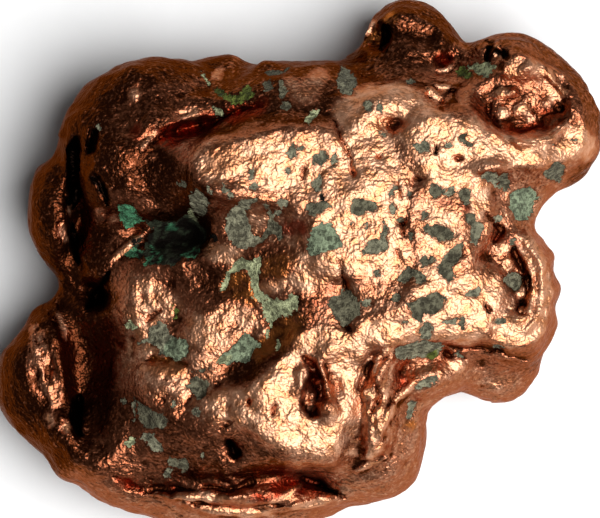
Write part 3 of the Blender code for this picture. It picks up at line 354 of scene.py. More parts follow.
# Mineral patches: hue, then the X and Y of each corner of the outline.
OUTLINES = (
    (TEAL, -11.9, 4.0, -11.4, 4.1, -11.0, 4.0, -10.3, 3.0, -11.3, 2.5, -11.8, 3.0),
    (MOSS, -10.6, 3.4, -9.7, 2.9, -8.9, 3.0, -8.0, 2.9, -7.4, 3.4, -6.1, 2.4, -6.1, 1.7, -6.6, 1.1,
     -7.5, 0.7, -8.4, -0.1, -9.9, 0.3, -10.4, 0.9, -9.6, 2.4),
    (BLACK, -9.1, 1.7, -8.7, 2.2, -7.5, 3.1, -6.3, 2.1, -6.5, 1.5, -7.2, 1.3, -7.8, 0.9, -8.5, 1.1,
     -8.3, 1.5),
    (TEAL, -11.6, 0.7, -10.8, 1.3, -10.3, 1.0, -10.5, 0.6, -11.1, 0.4),
    (TEAL, -10.4, 0.2, -9.6, 1.1, -9.3, 0.9, -9.0, 0.3, -9.5, 0.1, -9.9, 0.2, -10.1, 0.0),
    (TEAL, -7.8, 0.9, -7.0, 1.3, -6.5, 1.2, -6.6, 0.9, -6.9, 0.6, -7.6, 0.6),
    (PALE, -7.3, 3.7, -7.0, 3.6, -6.6, 2.9, -6.8, 2.8, -7.3, 3.3),
    (GREY, -7.1, 4.7, -6.6, 5.1, -6.2, 4.8, -5.9, 4.1, -6.0, 3.5, -6.4, 3.2, -6.9, 3.5, -7.2, 4.1),
    (GREY, -5.9, 5.2, -5.5, 5.1, -5.6, 4.7, -5.8, 4.5),
    (GREY, -5.0, 5.4, -4.5, 5.1, -4.1, 4.6, -4.5, 4.5, -5.0, 5.0),
    (GREY, -3.8, 4.3, -3.2, 4.2, -2.7, 4.4, -2.6, 4.1, -3.2, 3.9, -3.4, 3.4, -3.1, 2.2, -2.6, 1.9,
     -2.9, 1.3, -3.5, 1.1, -4.2, 1.3, -4.7, 2.0, -4.9, 2.6, -4.6, 3.4),
    (DARK, -2.4, 4.1, -1.9, 3.9, -1.6, 3.0, -1.1, 2.6, -1.0, 1.9, -1.3, 1.7, -1.7, 2.2, -2.8, 1.3,
     -3.2, 1.5, -2.2, 2.2, -1.9, 2.8, -2.0, 3.6),
    (GREY, -3.4, 6.4, -2.9, 6.4, -3.0, 5.7, -3.2, 5.7),
    (GREY, -3.1, 5.4, -2.8, 5.6, -2.6, 5.3, -3.0, 5.0, -3.3, 5.2),
    (GREY, -0.8, 7.5, -0.6, 7.8, -0.2, 8.0, -0.1, 7.6, -0.2, 7.2, -0.6, 7.0),
    (GREY, 0.0, 7.8, 0.3, 8.0, 0.5, 7.8, 0.2, 7.6, -0.1, 7.6),
    (GREY, -0.9, 6.2, -0.7, 6.6, -0.4, 6.2, -0.7, 6.0),
    (GREY, 0.8, 7.0, 1.2, 7.4, 1.7, 7.6, 2.0, 7.2, 1.9, 6.8, 1.5, 6.5, 1.0, 6.7),
    (GREY, 2.1, 7.2, 2.5, 7.6, 2.6, 7.0, 2.4, 6.5, 2.2, 6.6),
    (GREY, 0.8, 5.6, 1.2, 5.8, 1.4, 6.2, 1.6, 5.7, 1.4, 5.0, 1.1, 4.8, 0.8, 5.2),
    (BLACK, 1.4, 4.8, 1.6, 4.9, 1.9, 4.3, 1.5, 4.1),
    (DARK, 0.4, 3.8, 0.8, 4.1, 1.9, 4.3, 2.2, 3.9, 1.0, 3.2),
    (DARK, 3.3, 3.8, 3.7, 4.4, 4.1, 4.6, 4.8, 4.3, 5.2, 3.9, 4.9, 3.5, 4.4, 3.6, 4.0, 3.2, 3.5, 3.5),
    (GREY, 5.8, 4.8, 6.1, 5.1, 6.4, 4.7, 6.0, 4.5),
    (GREY, 5.9, 4.0, 6.2, 4.2, 6.5, 3.9, 6.5, 3.5, 6.1, 3.4, 5.9, 3.6),
    (SAGE, 1.0, 2.6, 1.6, 2.8, 2.2, 2.8, 2.9, 1.3, 1.6, 0.9, 1.0, 0.5, 0.6, 0.7, 0.4, 1.2),
    (GREY, 4.1, 0.9, 4.5, 1.3, 4.6, 1.7, 4.9, 1.9, 5.3, 1.7, 5.6, 3.0, 5.9, 2.5, 5.7, 1.9, 6.0, 1.2,
     5.6, 0.9, 4.8, 0.7),
    (PALE, -5.2, -1.6, -4.9, -0.8, -4.1, 0.3, -3.8, 0.6, -3.2, 0.4, -2.4, 0.7, -2.4, 0.0, -2.6, -0.4,
     -2.6, -1.6, -1.9, -2.1, -2.5, -2.4, -3.0, -2.0, -3.2, -0.5, -3.5, -0.2, -4.3, -0.5, -4.7, -1.4),
    (PALE, -2.4, -2.5, -2.0, -2.1, -1.6, -2.3, -1.4, -1.9, -1.1, -2.4, -0.8, -2.2, -0.6, -1.8,
     -0.1, -2.0, 0.1, -3.0, -0.4, -2.9, -0.5, -3.3, -1.1, -3.3, -1.5, -3.6, -2.0, -4.9, -2.2, -4.5,
     -1.9, -3.9, -2.2, -3.4),
    (SAGE, -5.3, -6.3, -5.1, -5.8, -4.5, -5.6, -3.8, -4.6, -3.4, -4.4, -2.4, -5.2, -2.9, -5.5,
     -3.4, -6.5, -4.0, -6.3, -4.6, -6.5),
    (DARK, -7.4, -7.9, -7.1, -7.4, -6.5, -7.3, -6.0, -7.5, -5.8, -7.9, -6.1, -8.3, -6.1, -8.7,
     -6.6, -8.8, -7.0, -8.5),
    (PALE, -11.6, -3.9, -11.2, -3.6, -10.6, -4.0, -10.8, -4.2, -11.4, -4.2),
    (GREY, -9.9, -4.1, -9.2, -3.7, -8.7, -3.9, -8.5, -4.5, -8.0, -4.8, -8.4, -5.5, -9.1, -5.9,
     -9.6, -5.2, -10.6, -5.2, -10.6, -5.0, -9.9, -4.8),
    (SAGE, -8.9, -5.2, -8.3, -4.8, -7.6, -4.7, -7.2, -5.1, -7.2, -5.8, -7.8, -6.3, -8.5, -6.0,
     -8.9, -5.8),
    (DARK, 1.9, -2.4, 2.2, -2.1, 2.6, -2.0, 2.9, -1.5, 3.4, -1.6, 4.0, -2.4, 4.1, -3.2, 3.6, -3.4,
     3.3, -3.9, 2.9, -4.0),
    (GREY, 4.1, -2.3, 4.6, -2.1, 5.1, -2.4, 4.7, -2.7, 4.1, -2.7),
    (DARK, 8.4, 5.2, 8.8, 5.4, 9.4, 5.3, 9.8, 5.0, 9.4, 4.5, 8.8, 4.4),
    (GREY, 9.7, 5.1, 10.2, 5.3, 10.4, 4.8, 10.0, 4.5, 9.7, 4.7),
    (DARK, 10.6, 5.0, 11.1, 5.2, 11.5, 4.8, 11.4, 4.1, 11.1, 3.9, 10.7, 4.3),
    (GREY, 7.9, 3.4, 8.3, 3.7, 8.6, 3.5, 8.6, 3.1, 8.2, 2.9),
    (DARK, 8.0, 2.4, 8.5, 2.7, 8.8, 2.6, 9.1, 2.8, 10.1, 2.4, 10.4, 1.9, 9.2, 1.6),
    (DARK, 10.8, 1.7, 10.8, 0.9, 10.6, 0.3, 10.1, -0.2, 10.4, -0.8, 9.8, -1.0, 9.0, -0.1, 10.3, 1.4),
    (DARK, 6.5, -0.8, 6.8, -0.3, 7.2, 0.0, 7.8, -0.2, 8.3, -0.6, 8.5, -1.0, 8.0, -1.3, 7.5, -0.8,
     6.9, -1.1),
    (DARK, 8.0, 0.3, 8.3, 0.7, 8.8, 0.7, 9.0, 0.3, 8.2, -0.1),
    (DARK, 10.8, 3.4, 11.2, 3.7, 11.6, 3.4, 11.8, 2.9, 11.4, 2.5, 11.0, 2.8),
    (GREY, 11.3, 2.6, 11.9, 2.9, 12.3, 2.6, 11.8, 1.4, 11.3, 1.5),
    (GREY, 12.0, 5.8, 12.3, 6.2, 12.9, 6.2, 13.2, 5.9, 13.1, 5.3),
    (DARK, 13.2, 6.0, 13.8, 6.2, 14.0, 5.6, 13.8, 4.9, 13.2, 5.2),
    (SAGE, 14.0, 4.8, 14.4, 5.1, 15.1, 5.3, 15.7, 5.1, 15.9, 4.5, 15.1, 3.0, 14.4, 3.1, 14.0, 3.8),
    (DARK, 16.1, 6.1, 16.9, 6.9, 17.5, 6.8, 17.6, 6.2, 17.3, 5.5, 16.7, 5.7),
    (DARK, 7.2, -2.5, 7.5, -2.2, 9.2, -1.7, 9.7, -2.2, 9.3, -2.9, 8.8, -3.3, 8.3, -3.1, 8.0, -3.7,
     7.4, -3.3),
    (GREY, 8.3, -3.7, 8.6, -3.6, 8.9, -4.2, 8.6, -4.9, 8.1, -4.9, 7.9, -4.3),
    (GREY, 6.2, -5.8, 6.5, -5.3, 8.3, -4.9, 9.3, -5.0, 9.7, -5.3, 9.3, -5.8, 8.5, -6.0, 6.7, -6.2),
    (OLIVE, 8.6, -5.8, 9.2, -5.5, 9.3, -5.9, 8.8, -6.2, 8.5, -6.2),
    (DARK, 6.0, -2.0, 6.4, -1.7, 6.7, -1.9, 6.7, -2.3, 6.3, -2.5),
    (GREY, 10.9, -2.0, 11.3, -1.6, 11.9, -1.3, 12.0, -1.8, 11.5, -2.1),
    (GREY, 13.5, -0.8, 14.0, -0.5, 14.6, -0.6, 14.7, -1.2, 14.4, -1.6, 13.9, -1.3),
    (GREY, 9.5, -3.6, 10.5, -3.3, 10.8, -3.5, 10.3, -3.8, 9.7, -3.8),
    (GREY, 12.8, -3.5, 13.4, -3.4, 13.8, -3.6, 13.3, -3.9),
    (GREY, 7.6, -8.0, 8.6, -7.3, 9.2, -7.1, 9.1, -7.6, 8.5, -7.9, 7.9, -8.3),
    (GREY, 7.3, -8.9, 7.7, -8.8, 7.8, -9.3, 7.5, -10.2, 7.2, -10.4),
    (GREY, 10.3, -5.8, 10.7, -5.6, 10.9, -6.0, 10.6, -6.2),
    (GREY, 2.5, 12.5, 2.8, 13.1, 3.3, 13.1, 3.7, 12.6, 3.9, 12.1, 3.5, 11.4, 3.0, 11.4, 2.6, 11.8),
    (GREY, 4.2, 10.6, 4.5, 11.0, 4.8, 10.7, 4.8, 10.2, 4.4, 10.1),
    (GREY, 5.0, 10.6, 5.4, 10.8, 5.6, 10.4, 5.4, 10.1, 5.1, 10.3),
    (PALE, 0.4, 9.5, 0.5, 9.9, 0.8, 10.2, 1.3, 10.3, 1.4, 9.9, 0.7, 9.3),
    (OLIVE, -5.7, 11.7, -5.2, 11.8, -4.7, 11.4, -4.0, 11.4, -3.4, 12.0, -2.8, 11.4, -3.1, 11.0,
     -4.3, 10.6),
    (PALE, -5.7, 10.6, -5.0, 10.3, -4.9, 9.9, -5.4, 9.8),
    (DARK, -1.4, 12.1, -1.1, 12.3, -0.7, 11.6, -1.0, 10.9, -1.3, 11.2),
    (DARK, -2.2, 13.0, -1.9, 13.3, -1.1, 13.1, -0.4, 13.3, -0.8, 12.9, -2.0, 12.7),
    (GREY, 7.5, 8.0, 8.3, 8.3, 8.7, 7.9, 8.6, 7.5, 8.0, 7.4, 7.6, 7.6),
    (DARK, 10.4, 8.5, 10.7, 8.8, 11.1, 8.7, 11.0, 8.3, 11.5, 8.0, 11.3, 7.8, 10.8, 7.9),
    (OLIVE, 10.4, 12.9, 10.7, 13.2, 11.1, 13.1, 11.6, 12.8, 11.3, 12.5, 10.7, 12.5),
    (PALE, 11.3, 13.2, 11.8, 13.5, 12.6, 13.5, 13.0, 13.3, 12.6, 12.5, 12.1, 12.5),
    (DARK, -10.9, -8.5, -10.6, -9.0, -10.2, -9.1, -9.7, -9.5, -8.8, -9.7, -8.5, -10.2, -8.9, -10.8,
     -10.4, -10.6),
    (GREY, -11.0, -9.0, -10.7, -8.8, -10.8, -10.4, -11.0, -10.4),
    (GREY, -10.1, -11.0, -9.6, -11.2, -8.9, -12.3, -9.5, -12.3, -10.1, -11.8, -10.5, -11.4),
    (PALE, -11.6, -11.7, -11.3, -11.4, -10.8, -11.3, -10.8, -11.7, -11.2, -12.0),
    (DARK, -8.7, -12.8, -8.4, -12.6, -8.0, -12.9, -7.6, -12.8, -7.2, -13.2, -7.5, -13.7, -8.5, -13.3),
    (GREY, -9.1, -13.6, -8.7, -13.3, -8.3, -13.5, -8.5, -14.0, -8.9, -13.9),
    (GREY, -8.5, -9.3, -8.3, -8.8, -7.9, -8.8, -8.0, -9.2, -8.3, -9.4),
    (GREY, -13.5, 9.5, -13.2, 9.5, -13.1, 9.1, -13.4, 9.1),
    (OLIVE, -8.3, -2.5, -8.1, -2.5, -7.9, -3.0, -8.0, -3.5, -8.2, -3.5),
    (BLACK, -5.9, 2.0, -5.6, 2.2, -5.2, 2.0, -5.2, 1.7, -5.6, 1.6),
    (PALE, -6.6, 12.9, -6.3, 12.7, -5.7, 11.8, -5.9, 11.8),
)

# Small mineral specks: x, y, half-length, half-width, turn, hue.
SPECKS = (
    (-6.8, -9.6, 0.27, 0.33, 0, GREY), (-6.3, -12.5, 0.2, 0.27, 0, GREY),
    (-4.9, -6.2, 0.53, 0.27, 20, PALE), (-1.0, 4.1, 0.33, 0.33, 0, GREY),
    (-1.3, 3.4, 0.27, 0.2, 0, GREY), (6.7, 3.0, 0.27, 0.2, 0, DARK), (7.4, 2.0, 0.2, 0.4, 0, DARK),
    (5.6, 8.7, 0.2, 0.2, 0, GREY), (9.8, 8.0, 0.27, 0.2, 0, GREY), (5.2, -0.4, 0.2, 0.27, 0, GREY),
    (3.5, 2.7, 0.13, 0.2, 0, GREY), (4.6, 2.7, 0.2, 0.2, 0, GREY), (14.2, 1.5, 0.2, 0.27, 0, GREY),
    (13.2, 3.1, 0.27, 0.27, 0, GREY), (7.0, -3.7, 0.27, 0.2, 0, GREY), (10.8, -3.7, 0.2, 0.4, 0, DARK),
    (16.6, 8.1, 0.13, 0.13, 0, GREY), (18.2, 8.3, 0.2, 0.13, 0, GREY),
    (-0.9, 10.6, 0.33, 0.27, 0, DARK), (-2.0, 11.9, 0.27, 0.4, 0, DARK),
    (7.4, 12.2, 0.33, 0.2, 0, GREY), (6.4, 5.2, 0.2, 0.13, 0, GREY), (7.3, 4.7, 0.2, 0.27, 0, GREY),
    (-1.4, -5.2, 0.13, 0.33, -10, PALE), (-6.4, -6.9, 0.67, 0.13, 20, DARK),
    (13.1, -5.3, 0.33, 0.13, 0, GREY), (-11.6, -8.9, 0.27, 0.2, 0, GREY),
    (-7.6, 5.4, 0.33, 0.27, 0, GREY),
)

# The pit full of crystals at the left: its ellipse (x, y, half-length, half-width) and what lies in it.
STONE_PIT = (-8.6, 1.4, 2.4, 1.3)
PIT_SPECKS = 90
PIT_HUES = (TEAL, BLACK, MOSS, BLACK, BLACK, MOSS, BLACK, BLACK)
CRYSTAL_LENGTH = (0.10, 0.32)  # half the length of the smallest and of the largest crystal

# Copper worn bright, partly wear and partly painted highlight where the key lamp's glints fall: name,
# strength, then paths of (x, y, reach).
WORN_BRIGHT_AND_HIGHLIGHTS = (
    ("ridge", 0.86, ((-1.9, 6.7, 2.0), (-0.5, 6.7, 2.3), (2.1, 6.3, 2.5), (3.1, 4.0, 2.3),
     (2.9, 1.2, 1.7))),
    ("ridge end", 0.55, ((-5.7, 6.3, 1.1), (-3.5, 6.7, 1.7))),
    ("shoulder", 1.0, ((3.4, 10.1, 1.2), (5.0, 11.0, 1.2), (6.7, 11.2, 1.3), (7.9, 9.5, 1.7),
     (9.6, 7.9, 2.1), (11.5, 8.2, 1.9), (13.6, 7.6, 1.2), (15.9, 7.8, 1.2), (18.0, 8.2, 1.5),
     (19.0, 7.9, 0.93))),
    ("plateau", 1.0, ((4.6, 8.6, 2.0), (4.8, 5.7, 2.4), (4.8, 2.4, 2.1), (5.7, 0.5, 1.6))),
    ("plateau edge", 1.0, ((9.3, 6.4, 1.6), (11.7, 5.0, 0.8), (11.8, 3.7, 0.6))),
    ("right plateau", 1.0, ((9.3, 3.6, 1.2), (9.3, 1.1, 1.3), (8.5, -1.6, 1.1), (11.3, -2.1, 1.5),
     (12.7, -2.0, 1.2), (13.9, -4.2, 1.3), (15.5, -3.9, 0.93), (16.2, -1.7, 0.73), (15.7, 0.3, 0.73),
     (14.9, 1.5, 0.6))),
    ("lower ridge", 0.95, ((11.3, -4.1, 1.2), (9.3, -3.9, 1.1), (7.0, -4.2, 0.8), (5.1, -4.3, 1.0),
     (3.7, -5.5, 1.1), (2.0, -4.8, 1.0), (0.4, -5.2, 0.8))),
    ("ridge foot", 0.8, ((1.3, 0.1, 1.3), (2.4, 0.3, 1.1))),
    ("pad", 1.0, ((0.0, -6.4, 0.93), (-1.2, -7.6, 1.2), (-2.4, -9.1, 1.6), (-0.8, -10.6, 1.6),
     (1.4, -11.4, 1.3), (3.1, -10.7, 1.1), (3.2, -8.8, 0.93), (3.1, -7.2, 0.87), (2.7, -5.9, 0.87))),
    ("pad glow", 0.7, ((-4.7, -9.0, 1.5), (-3.2, -9.4, 1.5))),
    ("knob", 0.45, ((-9.7, -2.2, 1.5), (-10.4, -3.7, 1.3), (-8.7, -2.5, 1.1))),
    ("swell", 0.2, ((-10.9, -5.9, 0.93), (-9.7, -7.3, 1.3), (-7.8, -8.5, 1.6), (-5.7, -9.7, 1.6),
     (-3.8, -9.8, 1.3))),
    ("mound glint", 0.6, ((-10.8, -5.5, 0.8), (-10.0, -5.6, 0.8))),
    ("middle glint", 0.8, ((-5.5, 0.9, 0.8), (-4.3, 0.7, 0.8))),
    ("middle glints", 0.5, ((-5.0, -3.0, 0.8), (-3.2, -3.5, 0.8), (-2.4, -4.3, 0.53)), ((-6.2, -4.2, 1.1),
     (-5.0, -4.8, 0.67))),
    ("stone rim", 0.8, ((-2.4, -1.6, 0.53), (-0.9, -1.2, 0.67), (0.4, -1.2, 0.8))),
    ("crown", 0.6, ((14.3, 13.1, 0.8), (15.7, 12.7, 0.8))),
    ("crown rim", 0.7, ((16.7, 12.6, 0.53), (17.3, 11.6, 0.6))),
    ("boss glints", 0.6, ((-10.8, 11.4, 0.6),), ((-9.4, 8.9, 0.33), (-10.3, 7.9, 0.33))),
    ("boss glint 2", 0.7, ((-8.0, 9.9, 0.33), (-7.1, 10.1, 0.6))),
    ("boss glint 4", 0.3, ((-9.6, 7.1, 0.33),)),
    ("valley glint", 0.5, ((-5.7, 6.3, 0.6),)),
    ("lobe glint", 0.5, ((-17.5, -4.3, 0.53), (-17.1, -6.2, 1.0), (-16.5, -8.1, 1.0),
     (-16.1, -9.3, 0.53))),
    ("lobe glint 2", 0.7, ((-16.0, -3.3, 0.27), (-15.6, -4.7, 0.27))),
    ("lobe glint 3", 0.8, ((-16.7, -9.8, 0.33), (-16.4, -10.3, 0.33))),
    ("lobe glint 4", 1.0, ((-15.4, -10.7, 0.4),)),
    ("column side", 0.55, ((3.5, -4.8, 0.53), (3.9, -7.5, 0.67), (3.9, -10.1, 0.67), (3.5, -12.1, 0.53))),
    ("column ribs", 0.6, ((6.2, -6.5, 0.4), (5.6, -8.5, 0.4), (5.1, -11.4, 0.33))),
    ("left mound", 0.6, ((-13.2, 3.5, 0.6),)),
    ("left mound 2", 0.5, ((-12.2, 3.2, 0.4),)),
    ("mid-left glint", 0.6, ((-15.8, 2.7, 0.47), (-15.4, 1.9, 0.33))),
    ("back ledge", 0.6, ((-5.4, 12.9, 0.47),)),
    ("back glints", 0.5, ((-0.5, 12.0, 0.67), (0.4, 11.4, 0.93), (1.3, 12.6, 0.67))),
    ("copper oval", 0.4, ((-2.6, 3.3, 0.93),)),
)

# Tarnished copper and painted shade in the same form: 0 is bare copper, 1 is brown and 2 is nearly black.
# The zones are partly tarnished copper and partly painted shade on the sides and slopes that face away from
# the key lamp.
TARNISH_AND_SHADE = (
    ("left side", 2.0, ((-16.3, 10.3, 5.3), (-16.3, 3.0, 5.3), (-16.3, -4.2, 5.3), (-16.3, -10.7, 4.0))),
    ("lobe rim", 2.0, ((-18.9, -8.8, 2.7), (-19.2, -5.5, 2.7), (-16.9, -3.2, 2.0))),
    ("lobe face", 1.9, ((-16.6, -6.8, 2.9),)),
    ("left gully", 2.0, ((-14.1, -2.9, 2.0), (-13.9, -6.2, 2.3), (-13.8, -9.4, 2.3))),
    ("upper left boss", 1.5, ((-13.7, 10.3, 4.7), (-11.0, 11.6, 4.7), (-6.4, 12.2, 3.7))),
    ("boss rim", 1.9, ((-15.0, 8.9, 2.7), (-13.3, 11.9, 2.7), (-9.7, 13.8, 2.7), (-5.8, 13.9, 2.0))),
    ("upper back slope", 1.6, ((-4.5, 11.4, 3.5), (1.4, 12.1, 3.1), (6.7, 13.1, 2.3))),
    ("back rim", 1.5, ((-2.5, 13.5, 2.0), (2.7, 13.8, 2.0), (3.7, 14.5, 1.6))),
    ("top lobe", 1.7, ((6.7, 15.2, 4.0), (8.3, 15.5, 3.3))),
    ("crown top", 1.2, ((12.6, 14.1, 3.1), (16.5, 14.2, 3.1))),
    ("crown rim", 1.3, ((18.2, 13.1, 1.7), (19.5, 10.3, 1.5), (19.8, 7.6, 1.3), (18.8, 5.7, 1.2))),
    ("saddle back", 1.25, ((2.5, 10.1, 1.5), (2.7, 10.6, 1.6), (4.1, 11.3, 1.1), (6.2, 11.8, 1.0),
     (9.3, 10.1, 0.6), (11.5, 10.1, 0.8), (12.3, 8.9, 0.67))),
    ("bowl", 1.2, ((12.6, 10.6, 1.1), (13.2, 9.1, 0.93), (15.2, 8.7, 1.1), (17.2, 10.1, 1.2))),
    ("lower left slope", 1.4, ((-11.7, -11.4, 4.7), (-7.1, -12.5, 3.1), (-1.9, -13.1, 1.5))),
    ("dark diagonal", 1.6, ((0.1, -2.9, 1.6), (-1.7, -4.7, 1.9), (-3.8, -7.1, 1.7))),
    ("middle", 1.5, ((-7.1, -0.2, 2.7), (-4.5, -1.2, 2.7), (-1.9, -0.2, 2.0))),
    ("boss foot", 1.9, ((-12.4, 7.0, 2.9), (-10.0, 6.3, 2.7), (-7.1, 4.6, 1.9))),
    ("valley", 1.6, ((-6.4, 9.2, 1.2), (-2.5, 10.4, 1.3), (2.7, 10.9, 1.2))),
    ("pit surround", 1.5, ((-11.0, 2.4, 3.3), (-6.4, 2.0, 2.7))),
    ("shelf shadow", 0.8, ((9.3, -5.6, 0.93), (11.9, -5.6, 1.3), (15.2, -6.4, 1.1))),
    ("valley above", 0.6, ((-5.5, 4.3, 1.6), (-4.5, 8.3, 1.1))),
    ("upper fold", 1.6, ((-5.1, 9.7, 1.1), (-3.2, 10.1, 1.1), (2.4, 10.1, 0.93))),
    ("bridge pit", 0.7, ((8.3, 11.6, 1.3), (10.6, 11.4, 1.6))),
    ("right lobe pit", 0.8, ((14.3, 0.9, 0.67), (15.2, -0.9, 0.8), (14.4, -3.0, 0.67))),
)

# Stains of red copper oxide, in the same form.
RED_STAINS = (
    ("boss crevice", 1.0, ((-2.4, 10.6, 0.53), (-4.8, 9.9, 0.6), (-7.4, 9.1, 0.67), (-9.1, 8.7, 0.47))),
    ("boss", 0.7, ((-10.8, 8.9, 0.53),)),
    ("bowl", 0.5, ((12.6, 10.1, 0.33), (13.2, 9.2, 0.4), (14.7, 8.9, 0.4), (16.3, 9.3, 0.33))),
    ("bowl 2", 0.4, ((16.2, 10.5, 0.67),)),
    ("lip groove", 0.8, ((-11.8, -14.3, 0.4), (-10.5, -14.8, 0.4))),
    ("lip groove 2", 0.5, ((-8.3, -14.7, 0.33),)),
    ("lip cavity", 1.0, ((-2.4, -15.1, 0.8), (-0.9, -14.6, 0.67), (1.4, -14.8, 0.67))),
    ("lip under", 0.5, ((-5.5, -15.9, 0.33), (-3.5, -16.0, 0.33))),
    ("ridge foot", 0.8, ((-0.7, 2.5, 0.67), (0.2, 2.4, 0.53))),
    ("ridge foot 2", 0.35, ((1.6, -0.9, 0.53), (1.8, -2.2, 0.8))),
    ("pad pit", 0.4, ((0.7, -6.5, 0.4), (1.2, -8.3, 0.47))),
    ("column", 0.8, ((6.9, -7.5, 0.33), (6.7, -8.0, 0.27))),
    ("column 2", 0.9, ((8.0, -8.6, 0.33),)),
    ("column 3", 0.5, ((5.8, -11.9, 0.27),)),
    ("right gully", 0.5, ((14.6, 1.4, 0.33), (13.0, 1.9, 0.33))),
    ("plateau crack", 0.7, ((9.3, 4.2, 0.4), (10.9, 3.8, 0.4))),
    ("cave", 0.9, ((9.3, 13.7, 0.53), (10.0, 13.8, 0.4))),
    ("back", 0.8, ((-4.5, 10.1, 0.8), (-2.8, 10.4, 0.53))),
)

# Stains of orange rust, in the same form. The mound shadow row is painted shade under the mound, in the
# rust colour.
ORANGE_STAINS = (
    ("middle stain", 0.9, ((-4.1, -1.2, 1.1), (-3.2, -1.7, 0.8))),
    ("middle stain 2", 0.6, ((-1.5, -0.1, 1.1), (-0.9, 0.3, 0.8))),
    ("diagonal stain", 0.8, ((-2.4, -5.6, 0.67), (-0.5, -4.2, 1.1))),
    ("column stain", 1.0, ((7.4, -10.7, 0.47),)),
    ("mound shadow", 0.6, ((-9.1, -6.5, 0.8), (-7.8, -6.7, 0.67))),
    ("top lobe", 0.8, ((5.0, 15.2, 0.53), (6.2, 16.4, 0.4))),
    ("ridge gold", 0.4, ((-4.8, 7.0, 1.3),)),
)

# Painted shade: places painted nearly black where shade falls, in the same form.
PAINTED_SHADES = (
    ("gully shade", 0.3, ((-14.7, -3.5, 0.53), (-14.4, -5.5, 0.93), (-14.2, -8.1, 0.8))),
    ("boss shade", 0.35, ((-10.6, 7.1, 1.5), (-9.7, 5.9, 1.1))),
    ("lobe shade", 0.25, ((-16.9, -5.5, 1.3), (-16.4, -8.3, 1.3))),
    ("notch", 0.8, ((4.1, 13.9, 0.53), (3.1, 13.7, 0.4))),
)

# Fine strokes painted black inside, as painted shade in their cracks and holes: name, how black.
DARK_INSIDE = {
    "flap cracks": 1.0, "flap pool": 1.0, "boss crack": 0.9, "neck hollow": 1.0, "lobe pool": 1.0,
    "oval hole": 0.9, "lip cavity": 0.6, "pad pit trench": 0.1, "top lobe crescent": 1.0,
    "crown curl hollow": 0.8, "plateau hole 1": 0.7, "plateau hole 2": 0.6, "plateau hole 3": 0.8,
    "ridge hole": 0.5, "plateau crack 1": 0.4,
}

# Colours of the copper and of what lies on it. Bare and brown copper run from one to the other.
BARE_COPPER = ((0.48, 0.195, 0.088), (0.66, 0.36, 0.22))
BROWN_COPPER = ((0.20, 0.052, 0.020), (0.36, 0.130, 0.066))
# Darkest tarnished copper, which also carries the painted shade of the far sides and the hollows.
DEEP_TARNISH_AND_SHADE = (0.055, 0.014, 0.005)
RED_OXIDE = (0.20, 0.022, 0.008)
RUST = (0.42, 0.130, 0.030)
# Painted shadow along the copper rim round the mineral.
PATCH_EDGE_SHADOW = (0.07, 0.020, 0.010)
# Painted shade: near-black for shaded places and for the insides of cracks and holes.
PAINTED_SHADE_BLACK = (0.006, 0.003, 0.002)
GRAZING_TINT = (0.75, 0.5, 0.42, 1.0)

# Roughness of bare copper, brown copper and mineral, and how much the copper's varies.
BARE_ROUGH, BROWN_ROUGH, MINERAL_ROUGH, ROUGH_SWING = 0.49, 0.38, 0.8, 0.25

# The metal's grain where it is too fine for the mesh: size, detail, depth.
FINE_GRAIN = ((0.6, 1.0, 0.10), (0.26, 0.0, 0.07), (0.14, 0.0, 0.04))
MINERAL_GRAIN, MINERAL_SINK = 0.45, -0.05  # depths of the mineral's crumbs and of its edge

# The camera looks straight down on this point, X and Y from the origin.
VIEW_MIDDLE = (0.117, 0.475)
VIEW_WIDTH = 40.0  # what the frame's width shows at the height of the nugget's waist
LENS, SENSOR = 400.0, 36.0

# Round lamps: name, direction from the nugget, distance and size in metres, power in watts.
LAMPS = (
    ("key", (0.38, -0.15, 0.91), 0.40, 0.34, 2.95),
    ("fill", (0.75, -0.55, 0.35), 0.50, 0.20, 0.2),
)
ROOM_LIGHT = (0.08, 0.08, 0.08, 1.0)
FLOOR_SIZE = 3.0  # metres
FLOOR_TONES = ((0.78, 0.78, 0.78), (0.82, 0.82, 0.82))
FLOOR_ROUGH = 0.9


def smooth_step(low, high, value):
    t = np.clip((value - low) / (high - low), 0.0, 1.0)
    return t * t * (3.0 - 2.0 * t)


# How a stroke's height fades from its path (0) to its reach (1).
PROFILES = {
    SWELL: lambda d: 0.5 + 0.5 * np.cos(np.pi * d),
    PIT: lambda d: 1.0 - smooth_step(0.4, 1.0, d),
    FOLD: lambda d: (1.0 - d) ** 2,
}


def hashed(cell, seed):
    """A random number from 0 to 1 for each whole-numbered 3-D cell."""
    mixed = (cell[:, 0] * 73856093) ^ (cell[:, 1] * 19349663) ^ (cell[:, 2] * 83492791)
    mixed = mixed ^ (seed * 2654435761)
    mixed = (mixed ^ (mixed >> 13)) * 1274126177 & 0x7FFFFFFF
    mixed = (mixed ^ (mixed >> 16)) & 0xFFFFFF
    return mixed / 0xFFFFFF


def lattice_noise(points, size, seed):
    """Smooth random values from -1 to 1 over 3-D points, with cells of the given size."""
    cell = np.floor(points / size).astype(np.int64)
    part = points / size - cell
    part = part * part * (3.0 - 2.0 * part)
    total = np.zeros(len(points))
    for corner in range(8):
        step = np.array([corner & 1, corner >> 1 & 1, corner >> 2 & 1])
        weight = np.prod(np.where(step == 1, part, 1.0 - part), axis=1)
        total += weight * (2.0 * hashed(cell + step, seed) - 1.0)
    return total


def cell_noise(points, size, seed):
    """Distance to the nearest of some random points, which are about a cell apart, in cells."""
    cell = np.floor(points / size).astype(np.int64)
    nearest = np.full(len(points), FAR)
    for i in range(27):
        at = cell + np.array([i % 3 - 1, i // 3 % 3 - 1, i // 9 - 1])
        spot = at + np.stack([hashed(at, seed + axis) for axis in range(3)], axis=1)
        nearest = np.minimum(nearest, np.linalg.norm(points / size - spot, axis=1))
    return nearest


